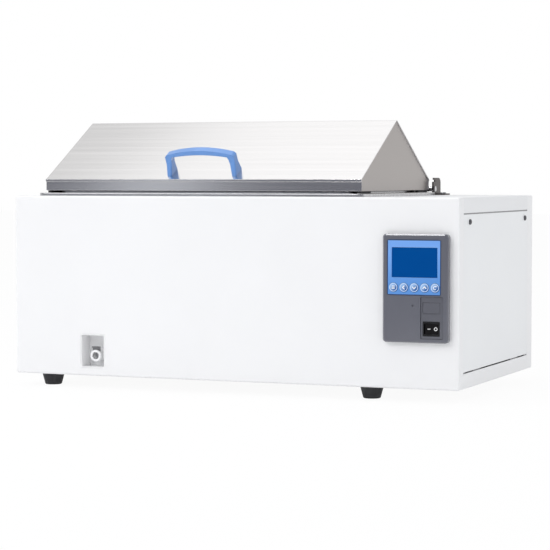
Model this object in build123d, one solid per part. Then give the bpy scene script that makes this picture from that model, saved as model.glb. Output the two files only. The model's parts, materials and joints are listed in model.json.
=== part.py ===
from build123d import *
import math
import os

# Laboratory water bath, millimetres.
# The front faces -Y, +X is to the viewer's right, +Z is up.
# Z = 0 is the surface that the feet stand on.

# Case
CASE_W = 732.0           # width of the sheet-steel case
CASE_D = 394.0           # depth of the case, front face to back face
CASE_H = 280.0           # height of the case without its feet
SHEET = 1.2              # thickness of the case's sheet
BEND_R = 3.0             # outer radius of the case's bends
FRONT_RETURN = 18.0      # how far the front panel's edges are folded back
REAR_RETURN = 32.0       # how far the rear panel's edges are folded forward
BAND_H = 23.0            # height of the deck's and the base pan's side flanges
SEAM = 0.3               # gap between folded panels
COVER_SEAM = 2.0         # shadow gap above and below a side cover
FIT = 0.05               # radial clearance of a screw or pin in its hole
FLAT_GAP = 0.3           # clearance between flat faces that must stay apart

# Frames behind the seams
FRAME_W = 24.0           # width of the strip along Y
FRAME_T = 1.5            # thickness of the strip
FRAME_R = 5.0            # corner radius of the strip
RAIL_H = 30.0            # height of the strip that a side cover is screwed to

# Side covers
COVER_SCREW_FRONT = 47.6     # front screw, from the front face
COVER_SCREW_REAR = 49.0      # rear screw, from the back
COVER_SCREW_DROP = 11.0      # screws below the cover's upper edge
TAB_W = 40.0                 # width of the hooks at the cover's lower edge
TAB_H = 22.0                 # height of those hooks
TAB_HANG = 10.0              # how far they reach below the cover
TAB_SPAN = 200.0             # distance between the two hooks

# Screws
M4_R = 2.0
M4_HEAD_R = 4.0
M4_HEAD_H = 2.4
M3_R = 1.5
M3_HEAD_R = 2.9
M3_HEAD_H = 1.8
SCREW_L = 9.0            # shank length of the short panel screws
DRIVE_R = 1.3            # hexagonal drive recess in the heads
DRIVE_DEEP = 1.0

# Feet
FOOT_H = 20.0
FOOT_TOP_R = 18.3
FOOT_BASE_R = 13.0
FOOT_FROM_FRONT = 42.0
FOOT_FROM_BACK = 58.0
FOOT_FROM_LEFT = 44.0
FOOT_FROM_RIGHT = 149.0
FOOT_BORE_R = 6.0        # counterbore for the screw's head
FOOT_BORE_H = 12.0
FOOT_SCREW_R = 2.5
FOOT_HEAD_R = 4.6
FOOT_HEAD_H = 3.5
NUT_H = 4.0
NUT_FLATS = 8.0

# Lid
LID_FROM_LEFT = 39.0     # lid's left end from the case's left side
LID_FROM_RIGHT = 162.0   # lid's right end from the case's right side
LID_FROM_FRONT = 29.0    # lid's front from the case's front face
LID_FROM_BACK = 43.0     # lid's rear from the case's back
LID_W = CASE_W - LID_FROM_LEFT - LID_FROM_RIGHT
LID_D = CASE_D - LID_FROM_FRONT - LID_FROM_BACK
LID_SHEET = 1.0
SKIRT_LOW = 8.3          # lower edge of the skirt above the deck
HEM_LOW = 22.3           # lower edge of the folded hem above the deck
HEM_TOP = 26.0           # top of the hem above the deck
HEM_OUT = 2.0            # how far the hem stands out from the skirt
HEM_STEP = 1.2           # ledge between the hem and the slope
LID_APEX = 118.0         # ridge above the deck
RIDGE_R = 2.5            # outer radius of the ridge's bend
GABLE_INSET = 2.0        # gable's face behind the roof's end
GABLE_LIP = 8.0          # flange folded in along the gable's lower edge

# Lid bumpers
BUMPER_L = 46.0
BUMPER_W = 6.0

# Handle
HANDLE_W = 116.5
HANDLE_H = 40.5          # height over the slope at mid-span
HANDLE_END_H = 33.0      # height over the slope at the shoulders
HANDLE_KNEE_H = 30.0     # height at which a leg bends into its shoulder
HANDLE_FOOT = 27.0       # depth of the legs at their foot, along the slope
HANDLE_STRAP = 12.0      # depth of the grip
HANDLE_T = 7.5           # thickness of the grip
HANDLE_LEG = 7.5         # width of a leg at its foot
HANDLE_LEG_GROWS = 2.5   # how much wider a leg is where the grip starts
HANDLE_SHOULDER = 3.5    # width of the bevelled shoulder
HANDLE_CORNER = 2.5      # radius of the legs' upright corners
HANDLE_UP = 22.0         # legs' centre above the hem, along the slope
HANDLE_OFFSET = 1.0      # grip's centre from the lid's centre
HANDLE_SCREW_DEEP = 12.0

# Tank
CHAMBER_SIDE = 15.5      # chamber's side walls inside the lid's ends
CHAMBER_END = 11.0       # chamber's front and rear walls inside the lid's edges
CHAMBER_W = LID_W - 2 * CHAMBER_SIDE
CHAMBER_D = LID_D - 2 * CHAMBER_END
CHAMBER_UP = 94.5        # chamber's floor above the case's bottom
CHAMBER_R = 20.0         # radius of the upright corners
TANK_SHEET = 1.2
RIM_OUT = 10.0           # rim beyond the lid on every side
RIM_H = 4.5              # top of the rim above the deck
RIM_R = 12.0
COLLAR_H = 11.0          # upstand above the rim
COLLAR_HEM = 2.0         # rolled edge of the upstand
DECK_LEDGE = 14.0        # width of deck that carries the rim

# Foam jacket
JACKET_T = 15.0
JACKET_DROP = 6.0        # top of the jacket below the deck
JACKET_GAP = 0.3
GLAND_ROOM_R = 15.0      # hole in the jacket around a gland
TANK_RAIL_W = 30.0       # width of the channels that carry the jacket
TANK_RAIL_X = 0.23 * CHAMBER_W   # their distance from the tank's centre

# Heaters
TUBE_R = 4.0
TUBE_SPREAD = 70.0       # between a heater's two runs
HEATER_PITCH = CHAMBER_D / 2     # between the two heaters
HEATER_Z = 18.0          # tube's centre above the tank's floor
HEATER_END = 60.0        # from the runs' ends to the tank's far wall
HEATER_TAIL = 26.0       # length of the tube outside the tank
GLAND_NECK_R = 7.0
GLAND_FLANGE_R = 10.0
GLAND_FLANGE_T = 3.0
GLAND_NUT_FLATS = 20.0
GLAND_NUT_T = 6.0
SADDLE_W = 12.0
SADDLE_SHEET = 1.2
SADDLE_END = 15.0        # gap from the saddle's end to the tank's wall
SADDLE_FROM_OUTLET = 20.0    # left saddle, from the outlet's centre
SADDLE_FROM_WALL = 160.0     # right saddle, from the wall with the glands

# Temperature probe
PROBE_R = 3.0
PROBE_REACH = 110.0
PROBE_Z = 33.0
PROBE_TAIL = 24.0

# Overheat cut-out on the tank's wall
CUTOUT_R = 9.0
CUTOUT_T = 8.0
CUTOUT_Z = 75.0
CUTOUT_BACK = CHAMBER_D / 3      # its centre behind the tank's centre

# Tray
TRAY_SIDE = 7.0          # gap from the tray's ends to the tank
TRAY_END = 8.0           # gap from its folded sides to the tank
TRAY_W = CHAMBER_W - 2 * TRAY_SIDE
TRAY_D = CHAMBER_D - 2 * TRAY_END
TRAY_Z = 46.0            # tray's top above the tank's floor
TRAY_SHEET = 1.2
TRAY_BEND = 2.5
TRAY_HOLE_R = 6.0
TRAY_PITCH = 34.0
TRAY_MARGIN = 24.0

# Hinges
HINGE_BACK = 8.0         # axis behind the lid's rear edge
HINGE_UP = 10.0          # axis above the deck
PIN_R = 2.5
PIN_HEAD_R = 4.6
PIN_HEAD_T = 2.0
PIN_SHOULDER_R = 4.3     # spacer shoulder between arm and bracket
EAR_T = 2.5              # thickness of the bracket
EAR_OFF = 4.2            # bracket's inner face from the lid's end
EAR_R = 5.5              # ear's radius around the pin
EAR_H = 28.0             # bracket's height
EAR_REAR_R = 9.0         # rounded rear top
EAR_SLOT_UP = 21.5       # lower edge of the slot above the deck
EAR_SLOT_H = 3.2
EAR_SLOT_L = 9.0
EAR_LIP = 3.0            # front edge above the slot, behind the ear's front edge
BRACKET_FROM_BACK = 3.0  # bracket's rear from the case's back
BRACKET_WALL = 14.0      # width of the bracket's rear wall
BRACKET_FOOT = 16.0      # width of the bracket's foot
KNUCKLE_W = 10.0
KNUCKLE_FROM_END = 3.0   # knuckle from the lid's end
ARM_PLATE_W = 22.0
ARM_PLATE_T = 1.5
ARM_SCREW_GAP = 7.5
ARM_SHIFT = 6.0          # plate's centre inward of the knuckle's

# Control bezel
BEZEL_W = 100.0
BEZEL_H = 158.0
BEZEL_FROM_RIGHT = 14.5
BEZEL_UP = 69.0          # lower edge above the case's bottom
BEZEL_PROUD = 10.0
BEZEL_R = 5.0
BEZEL_EDGE = 2.0         # bevel around the front
BEZEL_FACE = 4.6         # thickness of its front wall
BEZEL_WALL = 2.5
NECK_W = 82.0            # neck that passes through the front panel
NECK_H = 142.0
NECK_WALL = 1.5
NECK_DEEP = 6.0          # length of the neck behind the panel's front
BOSS_R = 3.0
BOSS_X = 44.4
BOSS_Z = 40.0

# Display and keypad, placed from the bezel's centre
MODULE_W = 82.6
MODULE_H = 81.4
MODULE_X = -1.9
MODULE_Z = 30.4
MODULE_R = 3.0
OVERLAY_T = 0.8
OVERLAY_SINK = 0.2       # overlay's face below the bezel's face
OVERLAY_GAP = 0.4        # dark line around the overlay
LCD_W = 69.0
LCD_H = 43.0
LCD_X = -1.1
LCD_Z = 37.7
LCD_T = 1.0
LCD_GAP = 0.3
LCD_FRAME = 1.5          # display module beyond the window on each side
KEY_R = 6.7
KEY_PITCH = 15.9
KEY_X = -1.45
KEY_Z = 1.2
KEY_GAP = 0.3
KEY_PROUD = 0.6
KEY_TRAVEL = 0.6
KEY_CAP_T = 2.6
KEY_STEM_R = 2.5
CONTACT_W = 6.0
CONTACT_T = 3.4
CONTACT_SPARE = 0.1      # left between a pressed key's stem and its contact
PCB_T = 1.6
DISPLAY_PCB_W = 78.0
DISPLAY_PCB_LOW = -12.0
DISPLAY_PCB_HIGH = 67.0
POST_R = 1.8
POST_X = 37.0
POST_ZS = (-9.5, 64.2)

# Insert with the mains switch and the blank plate, from the bezel's centre
INSERT_W = 34.0
INSERT_H = 61.0
INSERT_X = 25.5
INSERT_Z = -42.5
INSERT_R = 2.0
INSERT_SINK = 1.2
INSERT_RIM = 1.6
INSERT_FLOOR = 2.4
SWITCH_W = 25.7
SWITCH_H = 21.3
SWITCH_X = 24.4
SWITCH_Z = -58.4
SWITCH_FLANGE = 2.0
SWITCH_BODY_W = 24.0
SWITCH_BODY_H = 18.4
SWITCH_BODY_DEEP = 20.0
ROCKER_HALF = 9.6        # half of the rocker's face
ROCKER_H = 14.8
ROCKER_TILT = 9.0        # degrees to either side of its middle
ROCKER_PIVOT = 6.0       # pivot behind the flush face
ROCKER_BACK = 2.0        # rocker's back behind its pivot
ROCKER_BACK_HALF = 5.0   # half of the rocker's back
ROCKER_GAP = 0.3
ROCKER_PIN_R = 1.5
ROCKER_PIN_L = 0.7
BLANK_W = 26.0
BLANK_H = 16.0
BLANK_X = 24.5
BLANK_Z = -28.3
BLANK_T = 1.6
BLANK_GAP = 0.2
PORT_R = 1.6             # small port left of the insert
PORT_X = -3.5
PORT_Z = -25.0

# Drain
RECESS_W = 42.0
RECESS_H = 52.4
RECESS_FROM_LEFT = 115.0
RECESS_UP = 12.4         # above the case's bottom
RECESS_DEEP = 30.0
RECESS_WALL = 1.5
RECESS_FLANGE = 5.0
RECESS_R = 2.0
COUPLING_R = 9.2
COUPLING_FROM_LEFT = 138.0
COUPLING_UP = 31.0
COUPLING_SINK = 6.0      # socket's mouth behind the front face
SOCKET_R = 5.6
SOCKET_L = 14.0
VALVE_R = 6.5
SPIGOT_NECK_R = 6.5
SPIGOT_R = 4.9
SPIGOT_BORE_R = 3.0
SPIGOT_L = 20.0
COUPLING_NUT_FLATS = 20.0
COUPLING_NUT_T = 5.0
COUPLING_COLLAR_T = 3.0
COUPLING_COLLAR_R = 11.0
LATCH_T = 2.0
LATCH_W = 13.0
LATCH_FROM_MOUTH = 3.0
LATCH_HOLE_R = 5.9
LATCH_LOW = 7.1
LATCH_TOP = 12.6
LATCH_TRAVEL = 2.2
LATCH_GAP = 0.2
THUMB_T = 1.8
THUMB_REACH = 4.6
POPPET_L = 4.5
POPPET_TRAVEL = 4.0
POPPET_GAP = 0.08
POPPET_BACK_GAP = 0.2
HOSE_WALL = 2.5
HOSE_BEND = 30.0
CLAMP_W = 7.0
CLAMP_T = 1.2
OUTLET_R = 4.9
OUTLET_L = 22.0
OUTLET_FLANGE_R = 12.0
OUTLET_FLANGE_T = 2.0
OUTLET_FROM_FRONT = 120.0

# Divider panel and electronics
DIVIDER_OFF = 14.0       # gap between the jacket and the divider
DIVIDER_T = 1.2
DIVIDER_FOOT = 12.0
DIVIDER_FRONT = 52.0     # divider's front edge from the case's front face
DIVIDER_BACK = 66.0      # divider's rear edge from the case's back
DIVIDER_TOP_GAP = 3.5
LEAD_WINDOW_LOW = 40.0   # window's lower edge above the case's bottom
LEAD_WINDOW_OVER = 15.5  # window's upper edge above the heaters
LEAD_WINDOW_SPARE = 10.0  # window beyond the outer heater ends
BOARD_H = 110.0
BOARD_L = 150.0
BOARD_SHIFT = 15.0       # board's centre behind the tank's centre
BOARD_LIFT = 0.65        # share of the free height that is below the board
STANDOFF_L = 10.0
STANDOFF_R = 3.0
BOARD_MARGIN = 7.0
TRAFO = (34.0, 44.0, 38.0)
TRAFO_SIDE = 18.0        # from the board's front edge
TRAFO_DROP = 14.0        # below the board's upper edge
BOARD_RELAY = (16.0, 28.0, 22.0)
BOARD_RELAY_SIDE = 12.0  # from the board's rear edge
BOARD_RELAY_DROP = 28.0
CONNECTOR = (12.0, 54.0, 10.0)
CONNECTOR_UP = 6.0       # above the board's lower edge
PART_GAP = 6.0           # between neighbours on the board
CAP_R = 8.0
CAP_L = 22.0
CAP_PITCH = 20.0
SINK_W = 70.0
SINK_L = 90.0
SINK_BASE = 6.0
SINK_H = 26.0
SINK_FINS = 9
SINK_FIN_T = 2.0
SINK_FROM_RIGHT = 81.0   # sink's centre from the case's right side
RELAY_W = 45.0
RELAY_L = 58.0
RELAY_H = 24.0
RELAY_SCREW_R = 3.6
RELAY_SCREW_H = 3.0
RELAY_SCREW_X = 13.0
RELAY_SCREW_Y = 21.0
TERMINAL_W = 24.0
TERMINAL_L = 84.0
TERMINAL_H = 20.0
TERMINAL_POLES = 6
TERMINAL_FROM_RIGHT = 104.0
TERMINAL_FROM_BACK = 94.0
TERMINAL_HOLE_R = 2.6
TERMINAL_HOLE_X = 6.0

# Mains inlet in the rear panel
INLET_FROM_RIGHT = 70.0
INLET_UP = 62.0
INLET_W = 50.0
INLET_H = 23.0
INLET_FLANGE = 2.6
INLET_BODY_W = 27.4
INLET_BODY_H = 20.4
INLET_DEEP = 24.0
INLET_CAVITY_W = 24.4
INLET_CAVITY_H = 17.2
INLET_CAVITY_DEEP = 16.0
INLET_CORNER = 4.5
INLET_SCREWS = 40.0
PIN_BLADE = (2.0, 4.0)
PIN_BLADE_L = 28.0
PIN_SPREAD = 7.0
PIN_EARTH_UP = 3.4

# Rear panel louvres and screws
LOUVRE_W = 90.0
LOUVRE_H = 4.0
LOUVRE_PITCH = 11.0
LOUVRE_COUNT = 9
LOUVRE_FROM_RIGHT = 76.0
LOUVRE_UP = 118.0
REAR_SCREW_SIDE = 16.0   # from the case's sides
REAR_SCREW_INSET = 15.0

# Leads
LEAD_R = 2.2
LEAD_BEND = 9.0
LEAD_LIFT = 26.0         # how far one lead passes over the others
LEAD_START = 12.0        # straight part before a lead turns to the relay

# Worked out from the sizes above
ROCKER_TURN = math.radians(ROCKER_TILT)
ROCKER_FACE_DEEP = ROCKER_HALF * math.tan(ROCKER_TURN)
ROCKER_END = ROCKER_PIVOT + ROCKER_FACE_DEEP
ROCKER_SWEEP = ROCKER_HALF * math.cos(ROCKER_TURN) + ROCKER_END * math.sin(ROCKER_TURN)
ROCKER_RISE = ROCKER_HALF * math.sin(ROCKER_TURN) + ROCKER_END * math.cos(ROCKER_TURN) - ROCKER_PIVOT
ROCKER_FACE = BEZEL_PROUD - INSERT_SINK
FRONT_REACH = max(BEZEL_PROUD, ROCKER_FACE + ROCKER_RISE)
REAR_REACH = INLET_FLANGE + M3_HEAD_H
FRONT = -(CASE_D + REAR_REACH - FRONT_REACH) / 2
BACK = FRONT + CASE_D
RIGHT = CASE_W / 2
LEFT = -RIGHT
BOTTOM = FOOT_H
DECK = FOOT_H + CASE_H

LID_X1 = RIGHT - LID_FROM_RIGHT
LID_X0 = LID_X1 - LID_W
LID_CX = (LID_X0 + LID_X1) / 2
LID_Y1 = BACK - LID_FROM_BACK
LID_Y0 = LID_Y1 - LID_D
LID_CY = (LID_Y0 + LID_Y1) / 2
SLOPE = math.atan2(LID_APEX - HEM_TOP, LID_D / 2 - HEM_STEP)

RIM_TOP = DECK + RIM_H
TANK_FLOOR = BOTTOM + CHAMBER_UP
TANK_X0 = LID_CX - CHAMBER_W / 2
TANK_X1 = LID_CX + CHAMBER_W / 2
TANK_Y0 = LID_CY - CHAMBER_D / 2
TANK_Y1 = LID_CY + CHAMBER_D / 2
TANK_WALL_X = TANK_X1 + TANK_SHEET
JACKET_BOTTOM = TANK_FLOOR - TANK_SHEET - JACKET_GAP - JACKET_T
HEATER_LEVEL = TANK_FLOOR + HEATER_Z
CUTOUT_Y = LID_CY + CUTOUT_BACK

DIVIDER_X = TANK_WALL_X + JACKET_GAP + JACKET_T + DIVIDER_OFF
WINDOW_Z1 = HEATER_LEVEL + LEAD_WINDOW_OVER
WALL_Z1 = DECK - SHEET - DIVIDER_TOP_GAP
BOARD_Y0 = LID_CY + BOARD_SHIFT - BOARD_L / 2
BOARD_Z0 = WINDOW_Z1 + BOARD_LIFT * (WALL_Z1 - WINDOW_Z1 - BOARD_H)
SINK_X = RIGHT - SINK_FROM_RIGHT
TERMINAL_X = RIGHT - TERMINAL_FROM_RIGHT
INLET_X = RIGHT - INLET_FROM_RIGHT
LOUVRE_X = RIGHT - LOUVRE_FROM_RIGHT
REAR_SCREW_X = RIGHT - REAR_SCREW_SIDE

HINGE_Y = LID_Y1 + HINGE_BACK
HINGE_Z = DECK + HINGE_UP

BEZEL_CX = RIGHT - BEZEL_FROM_RIGHT - BEZEL_W / 2
BEZEL_CZ = BOTTOM + BEZEL_UP + BEZEL_H / 2
BEZEL_Y = FRONT - BEZEL_PROUD
OVERLAY_Y = BEZEL_Y + OVERLAY_SINK
INSERT_Y = BEZEL_Y + INSERT_SINK
SWITCH_CX = BEZEL_CX + SWITCH_X
SWITCH_CZ = BEZEL_CZ + SWITCH_Z
PIVOT_Y = INSERT_Y + ROCKER_PIVOT
KEY_Y = OVERLAY_Y - KEY_PROUD
CONTACT_Y = KEY_Y + KEY_CAP_T + 4.0
DISPLAY_PCB_Y = CONTACT_Y + CONTACT_T

COUPLING_X = LEFT + COUPLING_FROM_LEFT
COUPLING_Z = BOTTOM + COUPLING_UP
COUPLING_Y = FRONT + COUPLING_SINK
RECESS_X0 = LEFT + RECESS_FROM_LEFT
RECESS_Z0 = BOTTOM + RECESS_UP
CUP_BACK = FRONT + RECESS_DEEP
VALVE_L = POPPET_BACK_GAP + POPPET_L + POPPET_TRAVEL + FLAT_GAP


def block(x0, x1, y0, y1, z0, z1):
    """A box between its lowest and highest corner."""
    return Pos((x0 + x1) / 2, (y0 + y1) / 2, (z0 + z1) / 2) * Box(x1 - x0, y1 - y0, z1 - z0)


def rod_x(x0, x1, y, z, r):
    return Pos((x0 + x1) / 2, y, z) * Rot(0, 90, 0) * Cylinder(r, x1 - x0)


def rod_y(y0, y1, x, z, r):
    return Pos(x, (y0 + y1) / 2, z) * Rot(90, 0, 0) * Cylinder(r, y1 - y0)


def rod_z(z0, z1, x, y, r):
    return Pos(x, y, (z0 + z1) / 2) * Cylinder(r, z1 - z0)


def hexagon_y(y0, y1, x, z, flats):
    """A hexagonal prism along Y."""
    face = Plane.XZ * RegularPolygon(flats / 2, 6, major_radius=False)
    return Pos(x, y1, z) * extrude(face, y1 - y0)


def round_edges(solid, axis, radius):
    return fillet(solid.edges().filter_by(axis), radius)


def rounded_block(x0, x1, y0, y1, z0, z1, radius, axis):
    """A box whose edges along one axis are rounded."""
    return round_edges(block(x0, x1, y0, y1, z0, z1), axis, radius)


def screw(radius, head_r, head_h, length):
    """A pan-head screw along Z: seat of the head at Z = 0, shank below it."""
    head = Pos(0, 0, head_h / 2) * Cylinder(head_r, head_h)
    head = fillet(head.edges().filter_by(GeomType.CIRCLE).sort_by(Axis.Z)[-1], head_h * 0.45)
    drive = extrude(RegularPolygon(DRIVE_R, 6, major_radius=False), DRIVE_DEEP)
    head -= Pos(0, 0, head_h - DRIVE_DEEP) * drive
    return head + Pos(0, 0, -length / 2) * Cylinder(radius, length)


def aimed(solid, at, direction):
    """Moves a solid built along +Z to a point, with its head towards a direction."""
    turns = {"+x": Rot(0, 90, 0), "-x": Rot(0, -90, 0), "+y": Rot(-90, 0, 0),
             "-y": Rot(90, 0, 0), "+z": Rot(0, 0, 0), "-z": Rot(180, 0, 0)}
    return Pos(*at) * turns[direction] * solid


def group(solids):
    return Compound(children=[Solid(s.solids()[0].wrapped) for s in solids])


def bent_pan(x0, x1, y0, y1, z0, z1, closed):
    """A folded sheet pan. It is open on the side opposite to the closed one, '-y' or '+y'."""
    outer = block(x0, x1, y0, y1, z0, z1)
    if closed == "-y":
        inner = block(x0 + SHEET, x1 - SHEET, y0 + SHEET, y1 + BEND_R, z0 + SHEET, z1 - SHEET)
        open_y = y1
        inner_open = y1 + BEND_R
    else:
        inner = block(x0 + SHEET, x1 - SHEET, y0 - BEND_R, y1 - SHEET, z0 + SHEET, z1 - SHEET)
        open_y = y0
        inner_open = y0 - BEND_R
    outer_edges = [e for e in outer.edges() if abs(e.center().Y - open_y) > 0.01]
    inner_edges = [e for e in inner.edges() if abs(e.center().Y - inner_open) > 0.01]
    return fillet(outer_edges, BEND_R) - fillet(inner_edges, BEND_R - SHEET)


def bent_channel(x0, x1, y0, y1, z0, z1, closed):
    """A sheet channel along Y with its floor at '-z' or its top at '+z'."""
    outer = block(x0, x1, y0, y1, z0, z1)
    reach = BEND_R
    if closed == "+z":
        inner = block(x0 + SHEET, x1 - SHEET, y0 - reach, y1 + reach, z0 - reach, z1 - SHEET)
        level = z1
        inner_level = z1 - SHEET
    else:
        inner = block(x0 + SHEET, x1 - SHEET, y0 - reach, y1 + reach, z0 + SHEET, z1 + reach)
        level = z0
        inner_level = z0 + SHEET
    outer_edges = [e for e in outer.edges().filter_by(Axis.Y) if abs(e.center().Z - level) < 0.01]
    inner_edges = [e for e in inner.edges().filter_by(Axis.Y) if abs(e.center().Z - inner_level) < 0.01]
    return fillet(outer_edges, BEND_R) - fillet(inner_edges, BEND_R - SHEET)


# Case


def bezel_outline(grow, y0, y1, w=BEZEL_W, h=BEZEL_H, radius=BEZEL_R):
    """A rounded block centred on the bezel, larger by grow on each side."""
    return rounded_block(BEZEL_CX - w / 2 - grow, BEZEL_CX + w / 2 + grow, y0, y1,
                         BEZEL_CZ - h / 2 - grow, BEZEL_CZ + h / 2 + grow, radius, Axis.Y)


def boss_places():
    return [(BEZEL_CX + sx * BOSS_X, BEZEL_CZ + sz * BOSS_Z) for sx in (-1, 1) for sz in (-1, 1)]


def front_panel():
    """Front sheet, folded back all round, with the openings for the bezel and the drain recess."""
    panel = bent_pan(LEFT, RIGHT, FRONT, FRONT + FRONT_RETURN, BOTTOM, DECK, "-y")
    cut_y0 = FRONT - SHEET
    cut_y1 = FRONT + 2 * SHEET
    panel -= bezel_outline(SEAM, cut_y0, cut_y1, NECK_W, NECK_H, NECK_WALL + 1)
    for x, z in boss_places():
        panel -= rod_y(cut_y0, cut_y1, x, z, M3_R + FIT)
    panel -= rounded_block(RECESS_X0 - SEAM, RECESS_X0 + RECESS_W + SEAM, cut_y0, cut_y1,
                           RECESS_Z0 - SEAM, RECESS_Z0 + RECESS_H + SEAM, RECESS_R, Axis.Y)
    return panel


def louvre_levels():
    return [BOTTOM + LOUVRE_UP + i * LOUVRE_PITCH for i in range(LOUVRE_COUNT)]


def rear_screw_places():
    zs = (BOTTOM + REAR_SCREW_INSET, BOTTOM + CASE_H / 2, DECK - REAR_SCREW_INSET)
    return [(sx * REAR_SCREW_X, z) for sx in (-1, 1) for z in zs]


def inlet_screw_places():
    return [(INLET_X + s * INLET_SCREWS / 2, BOTTOM + INLET_UP) for s in (-1, 1)]


def rear_panel():
    """Back sheet, folded forward all round, with louvres over the electronics and the inlet's opening."""
    panel = bent_pan(LEFT, RIGHT, BACK - REAR_RETURN, BACK, BOTTOM, DECK, "+y")
    cut_y0 = BACK - 2 * SHEET
    cut_y1 = BACK + SHEET
    for z in louvre_levels():
        panel -= rounded_block(LOUVRE_X - LOUVRE_W / 2, LOUVRE_X + LOUVRE_W / 2, cut_y0, cut_y1,
                               z - LOUVRE_H / 2, z + LOUVRE_H / 2, LOUVRE_H * 0.45, Axis.Y)
    inlet_z = BOTTOM + INLET_UP
    panel -= block(INLET_X - INLET_BODY_W / 2 - SEAM, INLET_X + INLET_BODY_W / 2 + SEAM, cut_y0, cut_y1,
                   inlet_z - INLET_BODY_H / 2 - SEAM, inlet_z + INLET_BODY_H / 2 + SEAM)
    for x, z in inlet_screw_places():
        panel -= rod_y(cut_y0, cut_y1, x, z, M3_R + FIT)
    for x, z in rear_screw_places():
        panel -= rod_y(cut_y0, cut_y1, x, z, M4_R + FIT)
    for x, y in bracket_screw_places():
        panel -= rod_z(DECK - 2 * SHEET, DECK + SHEET, x, y, M3_R + FIT)
    return panel


def top_deck():
    """Deck between the front and rear panels, with the opening that the tank hangs in."""
    y0 = FRONT + FRONT_RETURN + SEAM
    y1 = BACK - REAR_RETURN - SEAM
    deck = bent_channel(LEFT, RIGHT, y0, y1, DECK - BAND_H, DECK, "+z")
    hole_x = LID_W / 2 + RIM_OUT - DECK_LEDGE
    hole_y = LID_D / 2 + RIM_OUT - DECK_LEDGE
    deck -= rounded_block(LID_CX - hole_x, LID_CX + hole_x, LID_CY - hole_y, LID_CY + hole_y,
                          DECK - 2 * SHEET, DECK + SHEET, RIM_R, Axis.Z)
    return deck


def foot_places():
    xs = (LEFT + FOOT_FROM_LEFT, RIGHT - FOOT_FROM_RIGHT)
    ys = (FRONT + FOOT_FROM_FRONT, BACK - FOOT_FROM_BACK)
    return [(x, y) for x in xs for y in ys]


def base_pan():
    """Floor of the case, with holes for the feet's screws."""
    y0 = FRONT + FRONT_RETURN + SEAM
    y1 = BACK - REAR_RETURN - SEAM
    pan = bent_channel(LEFT, RIGHT, y0, y1, BOTTOM, BOTTOM + BAND_H, "-z")
    for x, y in foot_places():
        pan -= rod_z(BOTTOM - SHEET, BOTTOM + 2 * SHEET, x, y, FOOT_SCREW_R + FIT)
    return pan


def seam_frame(y_seam):
    """A strip frame inside the case that joins the sheets at a seam."""
    y0 = y_seam - FRAME_W / 2
    y1 = y_seam + FRAME_W / 2
    outer = rounded_block(LEFT + SHEET, RIGHT - SHEET, y0, y1,
                          BOTTOM + SHEET, DECK - SHEET, FRAME_R, Axis.Y)
    inner_r = FRAME_R - FRAME_T
    inner = rounded_block(LEFT + SHEET + FRAME_T, RIGHT - SHEET - FRAME_T, y0 - 1, y1 + 1,
                          BOTTOM + SHEET + FRAME_T, DECK - SHEET - FRAME_T, inner_r, Axis.Y)
    return outer - inner


FRONT_SEAM = FRONT + FRONT_RETURN + SEAM / 2
REAR_SEAM = BACK - REAR_RETURN - SEAM / 2
COVER_Y0 = FRONT + FRONT_RETURN + SEAM
COVER_Y1 = BACK - REAR_RETURN - SEAM
COVER_Z0 = BOTTOM + BAND_H + COVER_SEAM
COVER_Z1 = DECK - BAND_H - COVER_SEAM


def rear_frame():
    """Rear strip frame, with lugs that the rear panel is screwed to."""
    frame = seam_frame(REAR_SEAM)
    lug_r = M4_HEAD_R + 2
    for x, z in rear_screw_places():
        side = math.copysign(1, x)
        x_wall = side * (RIGHT - SHEET)
        lug_x0 = min(x - side * lug_r, x_wall)
        lug_x1 = max(x - side * lug_r, x_wall)
        lug = block(lug_x0, lug_x1, BACK - SHEET - FRAME_T, BACK - SHEET, z - lug_r, z + lug_r)
        bar_x0 = min(x_wall, x_wall - side * FRAME_T)
        bar_x1 = max(x_wall, x_wall - side * FRAME_T)
        bar = block(bar_x0, bar_x1, REAR_SEAM, BACK - SHEET, z - lug_r, z + lug_r)
        frame += lug + bar
        frame -= rod_y(BACK - 2 * SHEET - FRAME_T, BACK, x, z, M4_R + FIT)
    for x, y in bracket_screw_places():
        frame -= rod_z(DECK - SHEET - 2 * FRAME_T, DECK, x, y, M3_R + FIT)
    trim = block(LEFT, RIGHT, BACK - SHEET - BEND_R, BACK, BOTTOM + SHEET, BOTTOM + 2 * BEND_R)
    trim += block(LEFT, RIGHT, BACK - SHEET - BEND_R, BACK, DECK - 2 * BEND_R, DECK - SHEET)
    for side in (-1, 1):
        x_a = side * (RIGHT - SHEET)
        x_b = side * (RIGHT - BEND_R)
        trim += block(min(x_a, x_b), max(x_a, x_b), BACK - BEND_R, BACK, BOTTOM, DECK)
    return frame - trim


def seam_frames():
    """The two strip frames, behind the front and the rear seam."""
    return group([seam_frame(FRONT_SEAM), rear_frame()])


def cover_screw_places():
    ys = (FRONT + COVER_SCREW_FRONT, BACK - COVER_SCREW_REAR)
    return [(y, COVER_Z1 - COVER_SCREW_DROP) for y in ys]


def cover_rails():
    """Strips behind the upper edges of the side covers, one on each side."""
    y0 = FRONT_SEAM + FRAME_W / 2 + SEAM
    y1 = REAR_SEAM - FRAME_W / 2 - SEAM
    rails = []
    for side in (-1, 1):
        x_out = side * (RIGHT - SHEET)
        x_in = x_out - side * FRAME_T
        z_mid = COVER_Z1 - COVER_SCREW_DROP + RAIL_H / 4
        rail = block(min(x_out, x_in), max(x_out, x_in), y0, y1, z_mid - RAIL_H / 2, z_mid + RAIL_H / 2)
        for y, z in cover_screw_places():
            rail -= rod_x(min(x_out, x_in) - 1, max(x_out, x_in) + 1, y, z, M4_R + FIT)
        rails.append(rail)
    return group(rails)


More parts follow.
